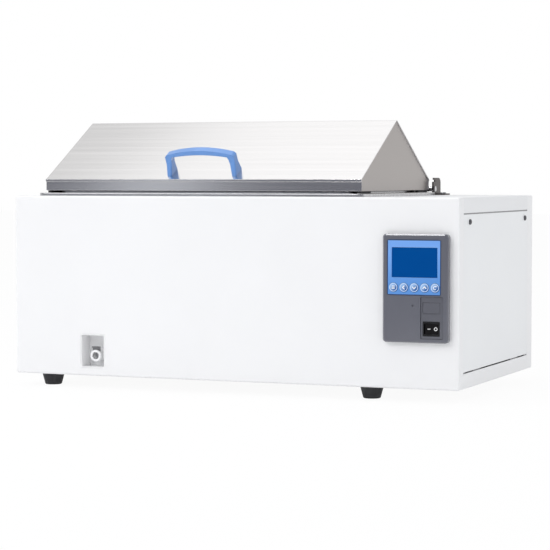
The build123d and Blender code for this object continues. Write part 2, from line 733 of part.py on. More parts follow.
def side_cover(side):
    """A flat cover, screwed along its top and hooked behind the base pan's flange."""
    x_out = side * RIGHT
    x_in = x_out - side * SHEET
    cover = block(min(x_out, x_in), max(x_out, x_in), COVER_Y0, COVER_Y1, COVER_Z0, COVER_Z1)
    x_tab = x_in - side * SHEET
    y_mid = (COVER_Y0 + COVER_Y1) / 2
    for s in (-1, 1):
        y_tab = y_mid + s * TAB_SPAN / 2
        cover += block(min(x_in, x_tab), max(x_in, x_tab), y_tab - TAB_W / 2, y_tab + TAB_W / 2,
                       COVER_Z0 - TAB_HANG, COVER_Z0 - TAB_HANG + TAB_H)
    for y, z in cover_screw_places():
        cover -= rod_x(min(x_in, x_out) - 1, max(x_in, x_out) + 1, y, z, M4_R + FIT)
    return cover


def case_screws():
    """Pan-head screws of the side covers and the rear panel."""
    bolt = screw(M4_R, M4_HEAD_R, M4_HEAD_H, SCREW_L)
    solids = [aimed(bolt, (x, BACK, z), "+y") for x, z in rear_screw_places()]
    for side, way in ((-1, "-x"), (1, "+x")):
        for y, z in cover_screw_places():
            solids.append(aimed(bolt, (side * RIGHT, y, z), way))
    return group(solids)


def rubber_feet():
    """Tapered feet with a counterbore for the screw's head."""
    cone = Pos(0, 0, FOOT_H / 2) * Cone(FOOT_BASE_R, FOOT_TOP_R, FOOT_H)
    cone = chamfer(cone.edges().filter_by(GeomType.CIRCLE).sort_by(Axis.Z)[0], 1.0)
    cone -= rod_z(0, FOOT_BORE_H, 0, 0, FOOT_BORE_R)
    cone -= rod_z(0, FOOT_H, 0, 0, FOOT_SCREW_R + FIT)
    return group([Pos(x, y, 0) * cone for x, y in foot_places()])


def foot_bolts():
    """A bolt through each foot, and its nut inside the base pan."""
    length = FOOT_H - FOOT_BORE_H + SHEET + NUT_H + 2
    bolt = screw(FOOT_SCREW_R, FOOT_HEAD_R, FOOT_HEAD_H, length)
    nut = extrude(RegularPolygon(NUT_FLATS / 2, 6, major_radius=False), NUT_H)
    nut -= Pos(0, 0, NUT_H / 2) * Cylinder(FOOT_SCREW_R + FIT, NUT_H)
    solids = []
    for x, y in foot_places():
        solids.append(aimed(bolt, (x, y, FOOT_BORE_H), "-z"))
        solids.append(Pos(x, y, BOTTOM + SHEET) * nut)
    return group(solids)


# Tank


def heater_levels():
    """Y places of the heaters' runs where they pass the tank's wall, one pair per heater."""
    centres = (LID_CY - HEATER_PITCH / 2, LID_CY + HEATER_PITCH / 2)
    return [(c - TUBE_SPREAD / 2, c + TUBE_SPREAD / 2) for c in centres]


def gland_places():
    """Y and Z of every gland in the tank's right wall, with the radius of what passes through it."""
    places = [(y, HEATER_LEVEL, TUBE_R) for pair in heater_levels() for y in pair]
    places.append((LID_CY, TANK_FLOOR + PROBE_Z, PROBE_R))
    return places


def tank():
    """Stainless tank: chamber, rim that rests on the deck, upstand inside the lid and outlet spigot."""
    shell = rounded_block(TANK_X0 - TANK_SHEET, TANK_X1 + TANK_SHEET, TANK_Y0 - TANK_SHEET,
                          TANK_Y1 + TANK_SHEET, TANK_FLOOR - TANK_SHEET, RIM_TOP + COLLAR_H,
                          CHAMBER_R + TANK_SHEET, Axis.Z)
    hem = rounded_block(TANK_X0 - TANK_SHEET - COLLAR_HEM, TANK_X1 + TANK_SHEET + COLLAR_HEM,
                        TANK_Y0 - TANK_SHEET - COLLAR_HEM, TANK_Y1 + TANK_SHEET + COLLAR_HEM,
                        RIM_TOP + COLLAR_H - COLLAR_HEM, RIM_TOP + COLLAR_H,
                        CHAMBER_R + TANK_SHEET + COLLAR_HEM, Axis.Z)
    rim_x = LID_W / 2 + RIM_OUT
    rim_y = LID_D / 2 + RIM_OUT
    rim = rounded_block(LID_CX - rim_x, LID_CX + rim_x, LID_CY - rim_y, LID_CY + rim_y,
                        DECK, RIM_TOP, RIM_R, Axis.Z)
    rim = fillet(rim.faces().sort_by(Axis.Z)[-1].edges(), TANK_SHEET)
    rim -= rounded_block(LID_CX - rim_x + TANK_SHEET, LID_CX + rim_x - TANK_SHEET,
                         LID_CY - rim_y + TANK_SHEET, LID_CY + rim_y - TANK_SHEET,
                         DECK - TANK_SHEET, RIM_TOP - TANK_SHEET, RIM_R - TANK_SHEET, Axis.Z)
    cavity = rounded_block(TANK_X0, TANK_X1, TANK_Y0, TANK_Y1, TANK_FLOOR, RIM_TOP + 2 * COLLAR_H,
                           CHAMBER_R, Axis.Z)
    body = shell + hem + rim - cavity
    for y, z, _ in gland_places():
        body -= rod_x(TANK_X1 - TANK_SHEET, TANK_WALL_X + TANK_SHEET, y, z, GLAND_NECK_R + FIT)
    z_flange = TANK_FLOOR - TANK_SHEET - OUTLET_FLANGE_T
    body += rod_z(TANK_FLOOR - OUTLET_L, TANK_FLOOR - TANK_SHEET, COUPLING_X, OUTLET_Y, OUTLET_R)
    body += rod_z(z_flange, TANK_FLOOR - TANK_SHEET, COUPLING_X, OUTLET_Y, OUTLET_FLANGE_R)
    body -= rod_z(TANK_FLOOR - OUTLET_L - 1, TANK_FLOOR + 1, COUPLING_X, OUTLET_Y, SPIGOT_BORE_R)
    return body


def tank_jacket():
    """Foam around the chamber, open at the top, with holes for the glands and the outlet."""
    gap = TANK_SHEET + JACKET_GAP
    out = gap + JACKET_T
    jacket = rounded_block(TANK_X0 - out, TANK_X1 + out, TANK_Y0 - out, TANK_Y1 + out,
                           JACKET_BOTTOM, DECK - JACKET_DROP, CHAMBER_R + out, Axis.Z)
    jacket -= rounded_block(TANK_X0 - gap, TANK_X1 + gap, TANK_Y0 - gap, TANK_Y1 + gap,
                            JACKET_BOTTOM + JACKET_T, DECK, CHAMBER_R + gap, Axis.Z)
    for y, z, _ in gland_places():
        jacket -= rod_x(TANK_X1, TANK_X1 + 2 * out, y, z, GLAND_ROOM_R)
    jacket -= rod_x(TANK_X1, TANK_X1 + 2 * out, CUTOUT_Y, TANK_FLOOR + CUTOUT_Z, GLAND_ROOM_R)
    jacket -= rod_z(JACKET_BOTTOM - 1, TANK_FLOOR, COUPLING_X, OUTLET_Y, GLAND_ROOM_R)
    return jacket


def tank_rails():
    """Two channels between the base pan and the jacket's underside."""
    y0 = FRONT_SEAM + FRAME_W / 2 + SEAM
    y1 = REAR_SEAM - FRAME_W / 2 - SEAM
    z0 = BOTTOM + SHEET
    z1 = JACKET_BOTTOM - JACKET_GAP
    solids = []
    for s in (-1, 1):
        x = LID_CX + s * TANK_RAIL_X
        rail = block(x - TANK_RAIL_W / 2, x + TANK_RAIL_W / 2, y0, y1, z0, z1)
        rail -= block(x - TANK_RAIL_W / 2 + SHEET, x + TANK_RAIL_W / 2 - SHEET, y0 - 1, y1 + 1,
                      z0 - 1, z1 - SHEET)
        solids.append(rail)
    return group(solids)


def tube(points, bends, radius):
    """A round tube or bar along straight runs joined by tangent arcs."""
    path = FilletPolyline(*points, radius=bends) if len(points) > 2 else Polyline(*points)
    start = Plane(origin=path @ 0, z_dir=path % 0)
    return sweep(start * Circle(radius), path=path)


def heaters():
    """Two hairpin heaters that enter through the tank's right wall."""
    z = HEATER_LEVEL
    x_in = TANK_X0 + HEATER_END
    x_out = TANK_WALL_X + HEATER_TAIL
    solids = []
    for y_a, y_b in heater_levels():
        mid = (y_a + y_b) / 2
        ring = Pos(x_in, mid, z) * Torus(TUBE_SPREAD / 2, TUBE_R)
        ring -= block(x_in, x_in + TUBE_SPREAD, mid - TUBE_SPREAD, mid + TUBE_SPREAD, z - 20, z + 20)
        hairpin = ring + rod_x(x_in, x_out, y_a, z, TUBE_R) + rod_x(x_in, x_out, y_b, z, TUBE_R)
        solids.append(hairpin)
    return group(solids)


def wall_glands():
    """Flanged glands that seal the heaters and the probe in the tank's wall, with their nuts."""
    nut = extrude(Plane.YZ * RegularPolygon(GLAND_NUT_FLATS / 2, 6, major_radius=False), GLAND_NUT_T)
    nut -= Pos(GLAND_NUT_T / 2, 0, 0) * Rot(0, 90, 0) * Cylinder(GLAND_NECK_R + FIT, 2 * GLAND_NUT_T)
    solids = []
    for y, z, bore in gland_places():
        gland = rod_x(TANK_X1 - GLAND_FLANGE_T, TANK_X1, y, z, GLAND_FLANGE_R)
        gland += rod_x(TANK_X1, TANK_WALL_X + GLAND_NUT_T, y, z, GLAND_NECK_R)
        gland -= rod_x(TANK_X1 - 2 * GLAND_FLANGE_T, TANK_WALL_X + 2 * GLAND_NUT_T, y, z, bore + FIT)
        solids.append(gland)
        solids.append(Pos(TANK_WALL_X, y, z) * nut)
    return group(solids)


def temperature_probe():
    x_tip = TANK_X1 - PROBE_REACH
    z = TANK_FLOOR + PROBE_Z
    probe = rod_x(x_tip, TANK_WALL_X + PROBE_TAIL, LID_CY, z, PROBE_R)
    return fillet(probe.edges().filter_by(GeomType.CIRCLE).sort_by(Axis.X)[0], PROBE_R * 0.9)


def heater_saddles():
    """Channels on the tank's floor that the heaters lie on."""
    z1 = HEATER_LEVEL - TUBE_R - FLAT_GAP / 3
    solids = []
    for x in (COUPLING_X + SADDLE_FROM_OUTLET, TANK_X1 - SADDLE_FROM_WALL):
        saddle = block(x - SADDLE_W / 2, x + SADDLE_W / 2, TANK_Y0 + SADDLE_END, TANK_Y1 - SADDLE_END,
                       TANK_FLOOR, z1)
        saddle -= block(x - SADDLE_W / 2 + SADDLE_SHEET, x + SADDLE_W / 2 - SADDLE_SHEET, TANK_Y0, TANK_Y1,
                        TANK_FLOOR - 1, z1 - SADDLE_SHEET)
        solids.append(saddle)
    return group(solids)


def overheat_cutout():
    """Disc thermostat clamped to the tank's wall."""
    y = CUTOUT_Y
    z = TANK_FLOOR + CUTOUT_Z
    body = rod_x(TANK_WALL_X, TANK_WALL_X + CUTOUT_T, y, z, CUTOUT_R)
    for s in (-1, 1):
        body += block(TANK_WALL_X + CUTOUT_T, TANK_WALL_X + 2 * CUTOUT_T, y + s * 4 - 0.4, y + s * 4 + 0.4,
                      z - 3, z + 3)
    return body


def perforated_tray():
    """Tray over the heaters: a perforated plate on two folded sides."""
    x0 = LID_CX - TRAY_W / 2
    x1 = LID_CX + TRAY_W / 2
    y0 = LID_CY - TRAY_D / 2
    y1 = LID_CY + TRAY_D / 2
    z0 = TANK_FLOOR
    z1 = TANK_FLOOR + TRAY_Z
    outer = block(x0, x1, y0, y1, z0, z1)
    outer = fillet([e for e in outer.edges().filter_by(Axis.X) if e.center().Z > z1 - 0.01], TRAY_BEND)
    inner = block(x0 - 1, x1 + 1, y0 + TRAY_SHEET, y1 - TRAY_SHEET, z0 - 1, z1 - TRAY_SHEET)
    inner_edges = [e for e in inner.edges().filter_by(Axis.X) if e.center().Z > z1 - TRAY_SHEET - 0.01]
    tray = outer - fillet(inner_edges, TRAY_BEND - TRAY_SHEET)
    count_x = int((TRAY_W - 2 * TRAY_MARGIN) // TRAY_PITCH) + 1
    count_y = int((TRAY_D - 2 * TRAY_MARGIN) // TRAY_PITCH) + 1
    hole = Cylinder(TRAY_HOLE_R, 4 * TRAY_SHEET)
    holes = GridLocations(TRAY_PITCH, TRAY_PITCH, count_x, count_y)
    tray -= [Pos(LID_CX, LID_CY, z1) * place * hole for place in holes.locations]
    for y in (y0, y1):
        for dx in (-TRAY_W / 4, TRAY_W / 4):
            tray -= block(LID_CX + dx - 40, LID_CX + dx + 40, y - 5, y + 5, z0 - 1, z0 + 12)
    return tray


# Lid


def roof_profile(inner):
    """Half-closed outline of the lid's cross-section in the YZ plane, outside or inside of the sheet."""
    if inner:
        wall = HEM_OUT + LID_SHEET
        drop = LID_SHEET / math.cos(SLOPE)
        eave_y = wall
        eave_z = HEM_TOP + (wall - HEM_STEP) * math.tan(SLOPE) - drop
        half = [(wall, SKIRT_LOW - 5), (eave_y, eave_z)]
        apex = LID_APEX - drop
    else:
        half = [(HEM_OUT, SKIRT_LOW), (HEM_OUT, HEM_LOW), (0, HEM_LOW), (0, HEM_TOP), (HEM_STEP, HEM_TOP)]
        apex = LID_APEX
    front = [(LID_Y0 + y, DECK + z) for y, z in half]
    rear = [(LID_Y1 - y, DECK + z) for y, z in reversed(half)]
    return front + [(LID_CY, DECK + apex)] + rear


def roof_prism(inner, x0, x1):
    face = make_face(Polyline(*roof_profile(inner), close=True))
    prism = extrude(Plane.YZ.offset(x0) * face, x1 - x0)
    ridge = prism.edges().filter_by(Axis.X).sort_by(Axis.Z)[-1]
    return fillet(ridge, RIDGE_R - (LID_SHEET if inner else 0))


def lid_roof():
    """Folded sheet with two slopes, hems and front and rear skirts."""
    roof = roof_prism(False, LID_X0, LID_X1) - roof_prism(True, LID_X0 - 1, LID_X1 + 1)
    for at in handle_screw_places():
        drill = Plane(origin=at, x_dir=(1, 0, 0), z_dir=SLOPE_NORMAL) * Cylinder(M4_R + FIT, 6 * LID_SHEET)
        roof -= drill
    for x, z in arm_screw_places():
        roof -= rod_y(LID_Y1 - HEM_OUT - 2 * LID_SHEET, LID_Y1, x, z, M3_R + FIT)
    return roof


def lid_gable(side):
    """End wall of the lid, welded inside the roof, with a stiffening flange along its lower edge."""
    x_out = (LID_X1 - GABLE_INSET) if side > 0 else (LID_X0 + GABLE_INSET)
    x_in = x_out - side * LID_SHEET
    x_lip = x_out - side * GABLE_LIP
    plate = roof_prism(True, min(x_out, x_in), max(x_out, x_in))
    low = DECK + SKIRT_LOW
    plate -= block(min(x_out, x_in) - 1, max(x_out, x_in) + 1, LID_Y0, LID_Y1, low - 10, low)
    y_wall = HEM_OUT + LID_SHEET
    plate += block(min(x_out, x_lip), max(x_out, x_lip), LID_Y0 + y_wall, LID_Y1 - y_wall,
                   low, low + LID_SHEET)
    return plate


def lid_gables():
    return group([lid_gable(-1), lid_gable(1)])


def lid_bumpers():
    """Rubber strips under the ends of both gables."""
    z1 = DECK + SKIRT_LOW
    z0 = RIM_TOP + FLAT_GAP / 2
    y_wall = HEM_OUT + LID_SHEET
    solids = []
    for x_face, side in ((LID_X0 + GABLE_INSET, -1), (LID_X1 - GABLE_INSET, 1)):
        x_a = x_face
        x_b = x_face - side * BUMPER_W
        for y0 in (LID_Y0 + y_wall, LID_Y1 - y_wall - BUMPER_L):
            solids.append(rounded_block(min(x_a, x_b), max(x_a, x_b), y0, y0 + BUMPER_L, z0, z1,
                                        BUMPER_W / 4, Axis.Z))
    return group(solids)


# The handle stands on the front slope, in a plane of its own
SLOPE_NORMAL = (0, -math.sin(SLOPE), math.cos(SLOPE))
HANDLE_CX = LID_CX + HANDLE_OFFSET
HANDLE_AT = (HANDLE_CX, LID_Y0 + HEM_STEP + HANDLE_UP * math.cos(SLOPE),
             DECK + HEM_TOP + HANDLE_UP * math.sin(SLOPE))
HANDLE_PLANE = Plane(origin=HANDLE_AT, x_dir=(1, 0, 0), z_dir=SLOPE_NORMAL)
HANDLE_SCREW_X = HANDLE_W / 2 - HANDLE_LEG / 2


def handle_screw_places():
    """Points on the slope's outer face above the handle's screws."""
    return [(HANDLE_CX + s * HANDLE_SCREW_X, HANDLE_AT[1], HANDLE_AT[2]) for s in (-1, 1)]


def lid_handle():
    """Bridge handle: flared legs, bevelled shoulders and a crowned grip."""
    foot = HANDLE_W / 2
    inner_foot = foot - HANDLE_LEG
    knee = (foot - 0.5, HANDLE_KNEE_H)
    shoulder = (foot - HANDLE_SHOULDER, HANDLE_END_H)
    inner_knee = (inner_foot - HANDLE_LEG_GROWS, HANDLE_KNEE_H - 6)
    inner_shoulder = (inner_knee[0] - 2, HANDLE_END_H - 4)

    def mirrored(point):
        return (-point[0], point[1])

    outer = [Line((-foot, 0), mirrored(knee)), Line(mirrored(knee), mirrored(shoulder)),
             ThreePointArc(mirrored(shoulder), (0, HANDLE_H), shoulder),
             Line(shoulder, knee), Line(knee, (foot, 0)), Line((foot, 0), (inner_foot, 0)),
             Line((inner_foot, 0), inner_knee), Line(inner_knee, inner_shoulder),
             ThreePointArc(inner_shoulder, (0, HANDLE_H - HANDLE_T), mirrored(inner_shoulder)),
             Line(mirrored(inner_shoulder), mirrored(inner_knee)),
             Line(mirrored(inner_knee), (-inner_foot, 0)), Line((-inner_foot, 0), (-foot, 0))]
    face = Plane.XZ * make_face(outer)
    grip = extrude(face, HANDLE_FOOT / 2, both=True)
    bends = [e for e in grip.edges().filter_by(Axis.Y) if e.center().Z > 1]
    grip = fillet(bends, 2.0)
    flare = (HANDLE_FOOT - HANDLE_STRAP) / 2
    bend_h = HANDLE_KNEE_H - HANDLE_T
    wedge = Polyline((HANDLE_STRAP / 2, HANDLE_H * 2), (HANDLE_STRAP / 2, bend_h),
                     (HANDLE_FOOT / 2 + 0.01, 0), (HANDLE_FOOT / 2 + flare * 2, 0),
                     (HANDLE_FOOT / 2 + flare * 2, HANDLE_H * 2), close=True)
    cut = extrude(Plane.YZ.offset(-HANDLE_W) * make_face(wedge), 2 * HANDLE_W)
    grip = grip - cut - mirror(cut, Plane.XZ)
    corners = [e for e in grip.edges() if 2 < e.center().Z < bend_h and e.length > bend_h * 0.8]
    grip = fillet(corners, HANDLE_CORNER)
    for s in (-1, 1):
        grip -= rod_z(-1, HANDLE_SCREW_DEEP + 1, s * HANDLE_SCREW_X, 0, M4_R + FIT)
    return HANDLE_PLANE * grip


# Hinges: one at each rear corner, mirrored about the lid's centre


def hinge_ends():
    """Lid's end and the outward direction for each hinge."""
    return ((LID_X0, -1), (LID_X1, 1))


def span(a, b):
    return min(a, b), max(a, b)


BRACKET_Y1 = BACK - BRACKET_FROM_BACK
EAR_Y0 = HINGE_Y - EAR_R


def bracket_screw_places():
    places = []
    for end, side in hinge_ends():
        x = end + side * (EAR_OFF + EAR_T + BRACKET_FOOT * 0.55)
        y_mid = (BACK - REAR_RETURN + BRACKET_Y1) / 2
        places += [(x, y_mid - 8), (x, y_mid + 8)]
    return places


def edges_near(solid, y, z):
    """Edges along X through a point of the YZ plane."""
    edges = solid.edges().filter_by(Axis.X)
    return [e for e in edges if math.hypot(e.center().Y - y, e.center().Z - z) < 0.01]


def hinge_bracket(end, side):
    """Upright plate with a rear wall that stops the open lid, and a foot on the deck."""
    x_in = end + side * EAR_OFF
    x_out = x_in + side * EAR_T
    x0, x1 = span(x_in, x_out)
    top = DECK + EAR_H
    foot_y0 = BACK - REAR_RETURN + 1
    nose_z0 = HINGE_Z - EAR_R + 0.6
    slot_z = DECK + EAR_SLOT_UP
    outline = [(EAR_Y0, nose_z0), (EAR_Y0, slot_z), (EAR_Y0 + EAR_SLOT_L, slot_z),
               (EAR_Y0 + EAR_SLOT_L, slot_z + EAR_SLOT_H), (EAR_Y0 + EAR_LIP, slot_z + EAR_SLOT_H),
               (EAR_Y0 + EAR_LIP, top), (BRACKET_Y1, top), (BRACKET_Y1, DECK), (foot_y0, DECK),
               (foot_y0, nose_z0)]
    ear = extrude(Plane.YZ.offset(x0) * make_face(Polyline(*outline, close=True)), EAR_T)
    ear = fillet(edges_near(ear, BRACKET_Y1, top), EAR_REAR_R)
    ear = fillet(edges_near(ear, EAR_Y0, nose_z0), EAR_R * 0.7)
    w0, w1 = span(x_out, x_out - side * BRACKET_WALL)
    wall = block(w0, w1, BRACKET_Y1 - EAR_T, BRACKET_Y1, DECK, top - EAR_REAR_R)
    f0, f1 = span(x_in, x_out + side * BRACKET_FOOT)
    foot = block(f0, f1, foot_y0, BRACKET_Y1, DECK, DECK + EAR_T)
    bracket = ear + wall + foot
    bracket -= rod_x(x0 - 1, x1 + 1, HINGE_Y, HINGE_Z, PIN_R + FIT / 2)
    for x, y in bracket_screw_places():
        if (x - end) * side > 0 and abs(x - end) < 2 * BRACKET_FOOT + EAR_OFF:
            bracket -= rod_z(DECK - 1, DECK + 2 * EAR_T, x, y, M3_R + FIT)
    return bracket


def hinge_brackets():
    return group([hinge_bracket(end, side) for end, side in hinge_ends()])


def hinge_pins():
    """Headed, shouldered pins from the brackets through the lid's arms."""
    solids = []
    for end, side in hinge_ends():
        x_tip = end - side * (KNUCKLE_FROM_END + KNUCKLE_W + 1)
        x_head = end + side * (EAR_OFF + EAR_T)
        a, b = span(x_tip, x_head)
        pin = rod_x(a, b, HINGE_Y, HINGE_Z, PIN_R)
        a, b = span(x_head, x_head + side * PIN_HEAD_T)
        pin += rod_x(a, b, HINGE_Y, HINGE_Z, PIN_HEAD_R)
        a, b = span(end - side * (KNUCKLE_FROM_END - FLAT_GAP), end + side * EAR_OFF)
        pin += rod_x(a, b, HINGE_Y, HINGE_Z, PIN_SHOULDER_R)
        solids.append(pin)
    return group(solids)


def arm_screw_places():
    places = []
    for end, side in hinge_ends():
        x_mid = end - side * (KNUCKLE_FROM_END + KNUCKLE_W / 2)
        z = DECK + (SKIRT_LOW + HEM_LOW) / 2
        x_plate = x_mid - side * ARM_SHIFT
        places += [(x_plate - ARM_SCREW_GAP, z), (x_plate + ARM_SCREW_GAP, z)]
    return places


def lid_hinge_arms():
    """Plates on the rear skirt with a knuckle around each pin."""
    y_face = LID_Y1 - HEM_OUT
    z0 = DECK + SKIRT_LOW + 0.5
    z1 = DECK + HEM_LOW - 0.5
    solids = []
    for end, side in hinge_ends():
        k0, k1 = span(end - side * KNUCKLE_FROM_END, end - side * (KNUCKLE_FROM_END + KNUCKLE_W))
        x_mid = (k0 + k1) / 2 - side * ARM_SHIFT
        arm = block(x_mid - ARM_PLATE_W / 2, x_mid + ARM_PLATE_W / 2, y_face, y_face + ARM_PLATE_T,
                    z0, z1)
        arm += block(k0, k1, y_face, HINGE_Y, z0, HINGE_Z + EAR_R - 1)
        arm += rod_x(k0, k1, HINGE_Y, HINGE_Z, EAR_R - 1)
        arm -= rod_x(k0 - 1, k1 + 1, HINGE_Y, HINGE_Z, PIN_R + FIT)
        for x, z in arm_screw_places():
            if abs(x - x_mid) < ARM_PLATE_W:
                arm -= rod_y(y_face - 1, y_face + ARM_PLATE_T + 1, x, z, M3_R + FIT)
        solids.append(arm)
    return group(solids)


def lid_screws():
    """Screws from inside the lid into the handle's legs and the hinge arms."""
    length = HANDLE_SCREW_DEEP - 1 + LID_SHEET
    leg_bolt = Pos(0, 0, -LID_SHEET) * Rot(180, 0, 0) * screw(M4_R, M4_HEAD_R, M4_HEAD_H, length)
    solids = [HANDLE_PLANE * Pos(s * HANDLE_SCREW_X, 0, 0) * leg_bolt for s in (-1, 1)]
    arm_bolt = screw(M3_R, M3_HEAD_R, M3_HEAD_H, LID_SHEET + ARM_PLATE_T)
    y = LID_Y1 - HEM_OUT - LID_SHEET
    solids += [aimed(arm_bolt, (x, y, z), "-y") for x, z in arm_screw_places()]
    return group(solids)


# Control panel


def control_bezel():
    """Plastic surround: a shallow box on the panel with a neck through it."""
    y0 = BEZEL_Y
    body = bezel_outline(0, y0, FRONT)
    body = chamfer(body.faces().sort_by(Axis.Y)[0].edges(), BEZEL_EDGE)
    body -= bezel_outline(-BEZEL_WALL, y0 + BEZEL_FACE, FRONT + 1, radius=BEZEL_R - 2)
    neck = bezel_outline(0, y0 + BEZEL_FACE, FRONT + NECK_DEEP, NECK_W, NECK_H, NECK_WALL + 0.5)
    neck -= bezel_outline(-NECK_WALL, y0, FRONT + NECK_DEEP + 1, NECK_W, NECK_H, 0.4)
    body += neck
    for x, z in boss_places():
        body += rod_y(y0 + BEZEL_FACE, FRONT, x, z, BOSS_R)
        body -= rod_y(y0 + BEZEL_FACE, FRONT + 1, x, z, M3_R + FIT)
    mx = BEZEL_CX + MODULE_X
    mz = BEZEL_CZ + MODULE_Z
    body -= rounded_block(mx - MODULE_W / 2, mx + MODULE_W / 2, y0 - 1, OVERLAY_Y + OVERLAY_T,
                          mz - MODULE_H / 2, mz + MODULE_H / 2, MODULE_R, Axis.Y)
    lx = BEZEL_CX + LCD_X
    lz = BEZEL_CZ + LCD_Z
    half_w = LCD_W / 2 + LCD_FRAME + LCD_GAP
    half_h = LCD_H / 2 + LCD_FRAME + LCD_GAP
    body -= block(lx - half_w, lx + half_w, y0, y0 + 2 * BEZEL_FACE, lz - half_h, lz + half_h)
    for x, z in key_places():
        body -= rod_y(y0, y0 + 2 * BEZEL_FACE, x, z, KEY_R + KEY_GAP)
    for x in (-POST_X, POST_X):
        for z in POST_ZS:
            body += rod_y(y0 + BEZEL_FACE - 0.5, DISPLAY_PCB_Y, BEZEL_CX + x, BEZEL_CZ + z, POST_R)
    body -= insert_block(0, y0 - 1, y0 + 2 * BEZEL_FACE, INSERT_RIM)
    body -= insert_block(SEAM, y0 - 1, INSERT_Y + INSERT_FLOOR, 0)
    body -= rod_y(y0 - 1, y0 + 1.5, BEZEL_CX + PORT_X, BEZEL_CZ + PORT_Z, PORT_R)
    return body


def insert_block(grow, y0, y1, inset):
    x = BEZEL_CX + INSERT_X
    z = BEZEL_CZ + INSERT_Z
    w = INSERT_W / 2 + grow - inset
    h = INSERT_H / 2 + grow - inset
    return rounded_block(x - w, x + w, y0, y1, z - h, z + h, INSERT_R, Axis.Y)


def key_places():
    return [(BEZEL_CX + KEY_X + (i - 2) * KEY_PITCH, BEZEL_CZ + KEY_Z) for i in range(5)]


def keypad_overlay():
    """Thin front plate with the display's window and the keys' holes."""
    mx = BEZEL_CX + MODULE_X
    mz = BEZEL_CZ + MODULE_Z
    w = MODULE_W / 2 - OVERLAY_GAP
    h = MODULE_H / 2 - OVERLAY_GAP
    y0 = OVERLAY_Y
    y1 = OVERLAY_Y + OVERLAY_T
    plate = rounded_block(mx - w, mx + w, y0, y1, mz - h, mz + h, MODULE_R - OVERLAY_GAP, Axis.Y)
    lx = BEZEL_CX + LCD_X
    lz = BEZEL_CZ + LCD_Z
    plate -= block(lx - LCD_W / 2 - LCD_GAP, lx + LCD_W / 2 + LCD_GAP, y0 - 1, y1 + 1,
                   lz - LCD_H / 2 - LCD_GAP, lz + LCD_H / 2 + LCD_GAP)
    for x, z in key_places():
        plate -= rod_y(y0 - 1, y1 + 1, x, z, KEY_R + KEY_GAP)
    return plate


def display_window():
    lx = BEZEL_CX + LCD_X
    lz = BEZEL_CZ + LCD_Z
    return block(lx - LCD_W / 2, lx + LCD_W / 2, OVERLAY_Y, OVERLAY_Y + LCD_T,
                 lz - LCD_H / 2, lz + LCD_H / 2)


def display_module():
    """Display behind its window, on the display board."""
    lx = BEZEL_CX + LCD_X
    lz = BEZEL_CZ + LCD_Z
    w = LCD_W / 2 + LCD_FRAME
    h = LCD_H / 2 + LCD_FRAME
    return block(lx - w, lx + w, OVERLAY_Y + LCD_T, DISPLAY_PCB_Y, lz - h, lz + h)


def display_board():
    x = BEZEL_CX
    return block(x - DISPLAY_PCB_W / 2, x + DISPLAY_PCB_W / 2, DISPLAY_PCB_Y, DISPLAY_PCB_Y + PCB_T,
                 BEZEL_CZ + DISPLAY_PCB_LOW, BEZEL_CZ + DISPLAY_PCB_HIGH)


def key_contacts():
    """Contacts on the display board, one behind each key."""
    solids = []
    for x, z in key_places():
        base = block(x - CONTACT_W / 2, x + CONTACT_W / 2, DISPLAY_PCB_Y - CONTACT_T + 1, DISPLAY_PCB_Y,
                     z - CONTACT_W / 2, z + CONTACT_W / 2)
        solids.append(base + rod_y(DISPLAY_PCB_Y - CONTACT_T, DISPLAY_PCB_Y - 1, x, z, CONTACT_W / 4))
    return group(solids)


def key(index):
    """A round key: a cap in the overlay's hole and a stem to its contact."""
    x, z = key_places()[index]
    cap = rod_y(KEY_Y, KEY_Y + KEY_CAP_T, x, z, KEY_R)
    cap = fillet(cap.edges().filter_by(GeomType.CIRCLE).sort_by(Axis.Y)[0], KEY_PROUD * 0.6)
    return cap + rod_y(KEY_Y + KEY_CAP_T - 0.5, CONTACT_Y - KEY_TRAVEL - CONTACT_SPARE, x, z, KEY_STEM_R)


def switch_insert():
    """Frame in the bezel that carries the mains switch and the blank plate."""
    y0 = INSERT_Y
    frame = insert_block(0, y0, y0 + INSERT_FLOOR, 0)
    frame -= rounded_block(SWITCH_CX - SWITCH_W / 2 - BLANK_GAP, SWITCH_CX + SWITCH_W / 2 + BLANK_GAP,
                           y0 - 1, y0 + SWITCH_FLANGE, SWITCH_CZ - SWITCH_H / 2 - BLANK_GAP,
                           SWITCH_CZ + SWITCH_H / 2 + BLANK_GAP, 1.0, Axis.Y)
    frame -= block(SWITCH_CX - SWITCH_BODY_W / 2 - BLANK_GAP, SWITCH_CX + SWITCH_BODY_W / 2 + BLANK_GAP,
                   y0 - 1, y0 + 2 * INSERT_FLOOR, SWITCH_CZ - SWITCH_BODY_H / 2 - BLANK_GAP,
                   SWITCH_CZ + SWITCH_BODY_H / 2 + BLANK_GAP)
    bx = BEZEL_CX + BLANK_X
    bz = BEZEL_CZ + BLANK_Z
    w = BLANK_W / 2 + BLANK_GAP
    h = BLANK_H / 2 + BLANK_GAP
    frame -= block(bx - w, bx + w, y0 - 1, y0 + BLANK_T, bz - h, bz + h)
    return frame


def blank_plate():
    bx = BEZEL_CX + BLANK_X
    bz = BEZEL_CZ + BLANK_Z
    plate = block(bx - BLANK_W / 2, bx + BLANK_W / 2, INSERT_Y, INSERT_Y + BLANK_T, bz - BLANK_H / 2,
                  bz + BLANK_H / 2)
    return chamfer(plate.faces().sort_by(Axis.Y)[0].edges(), 0.4)


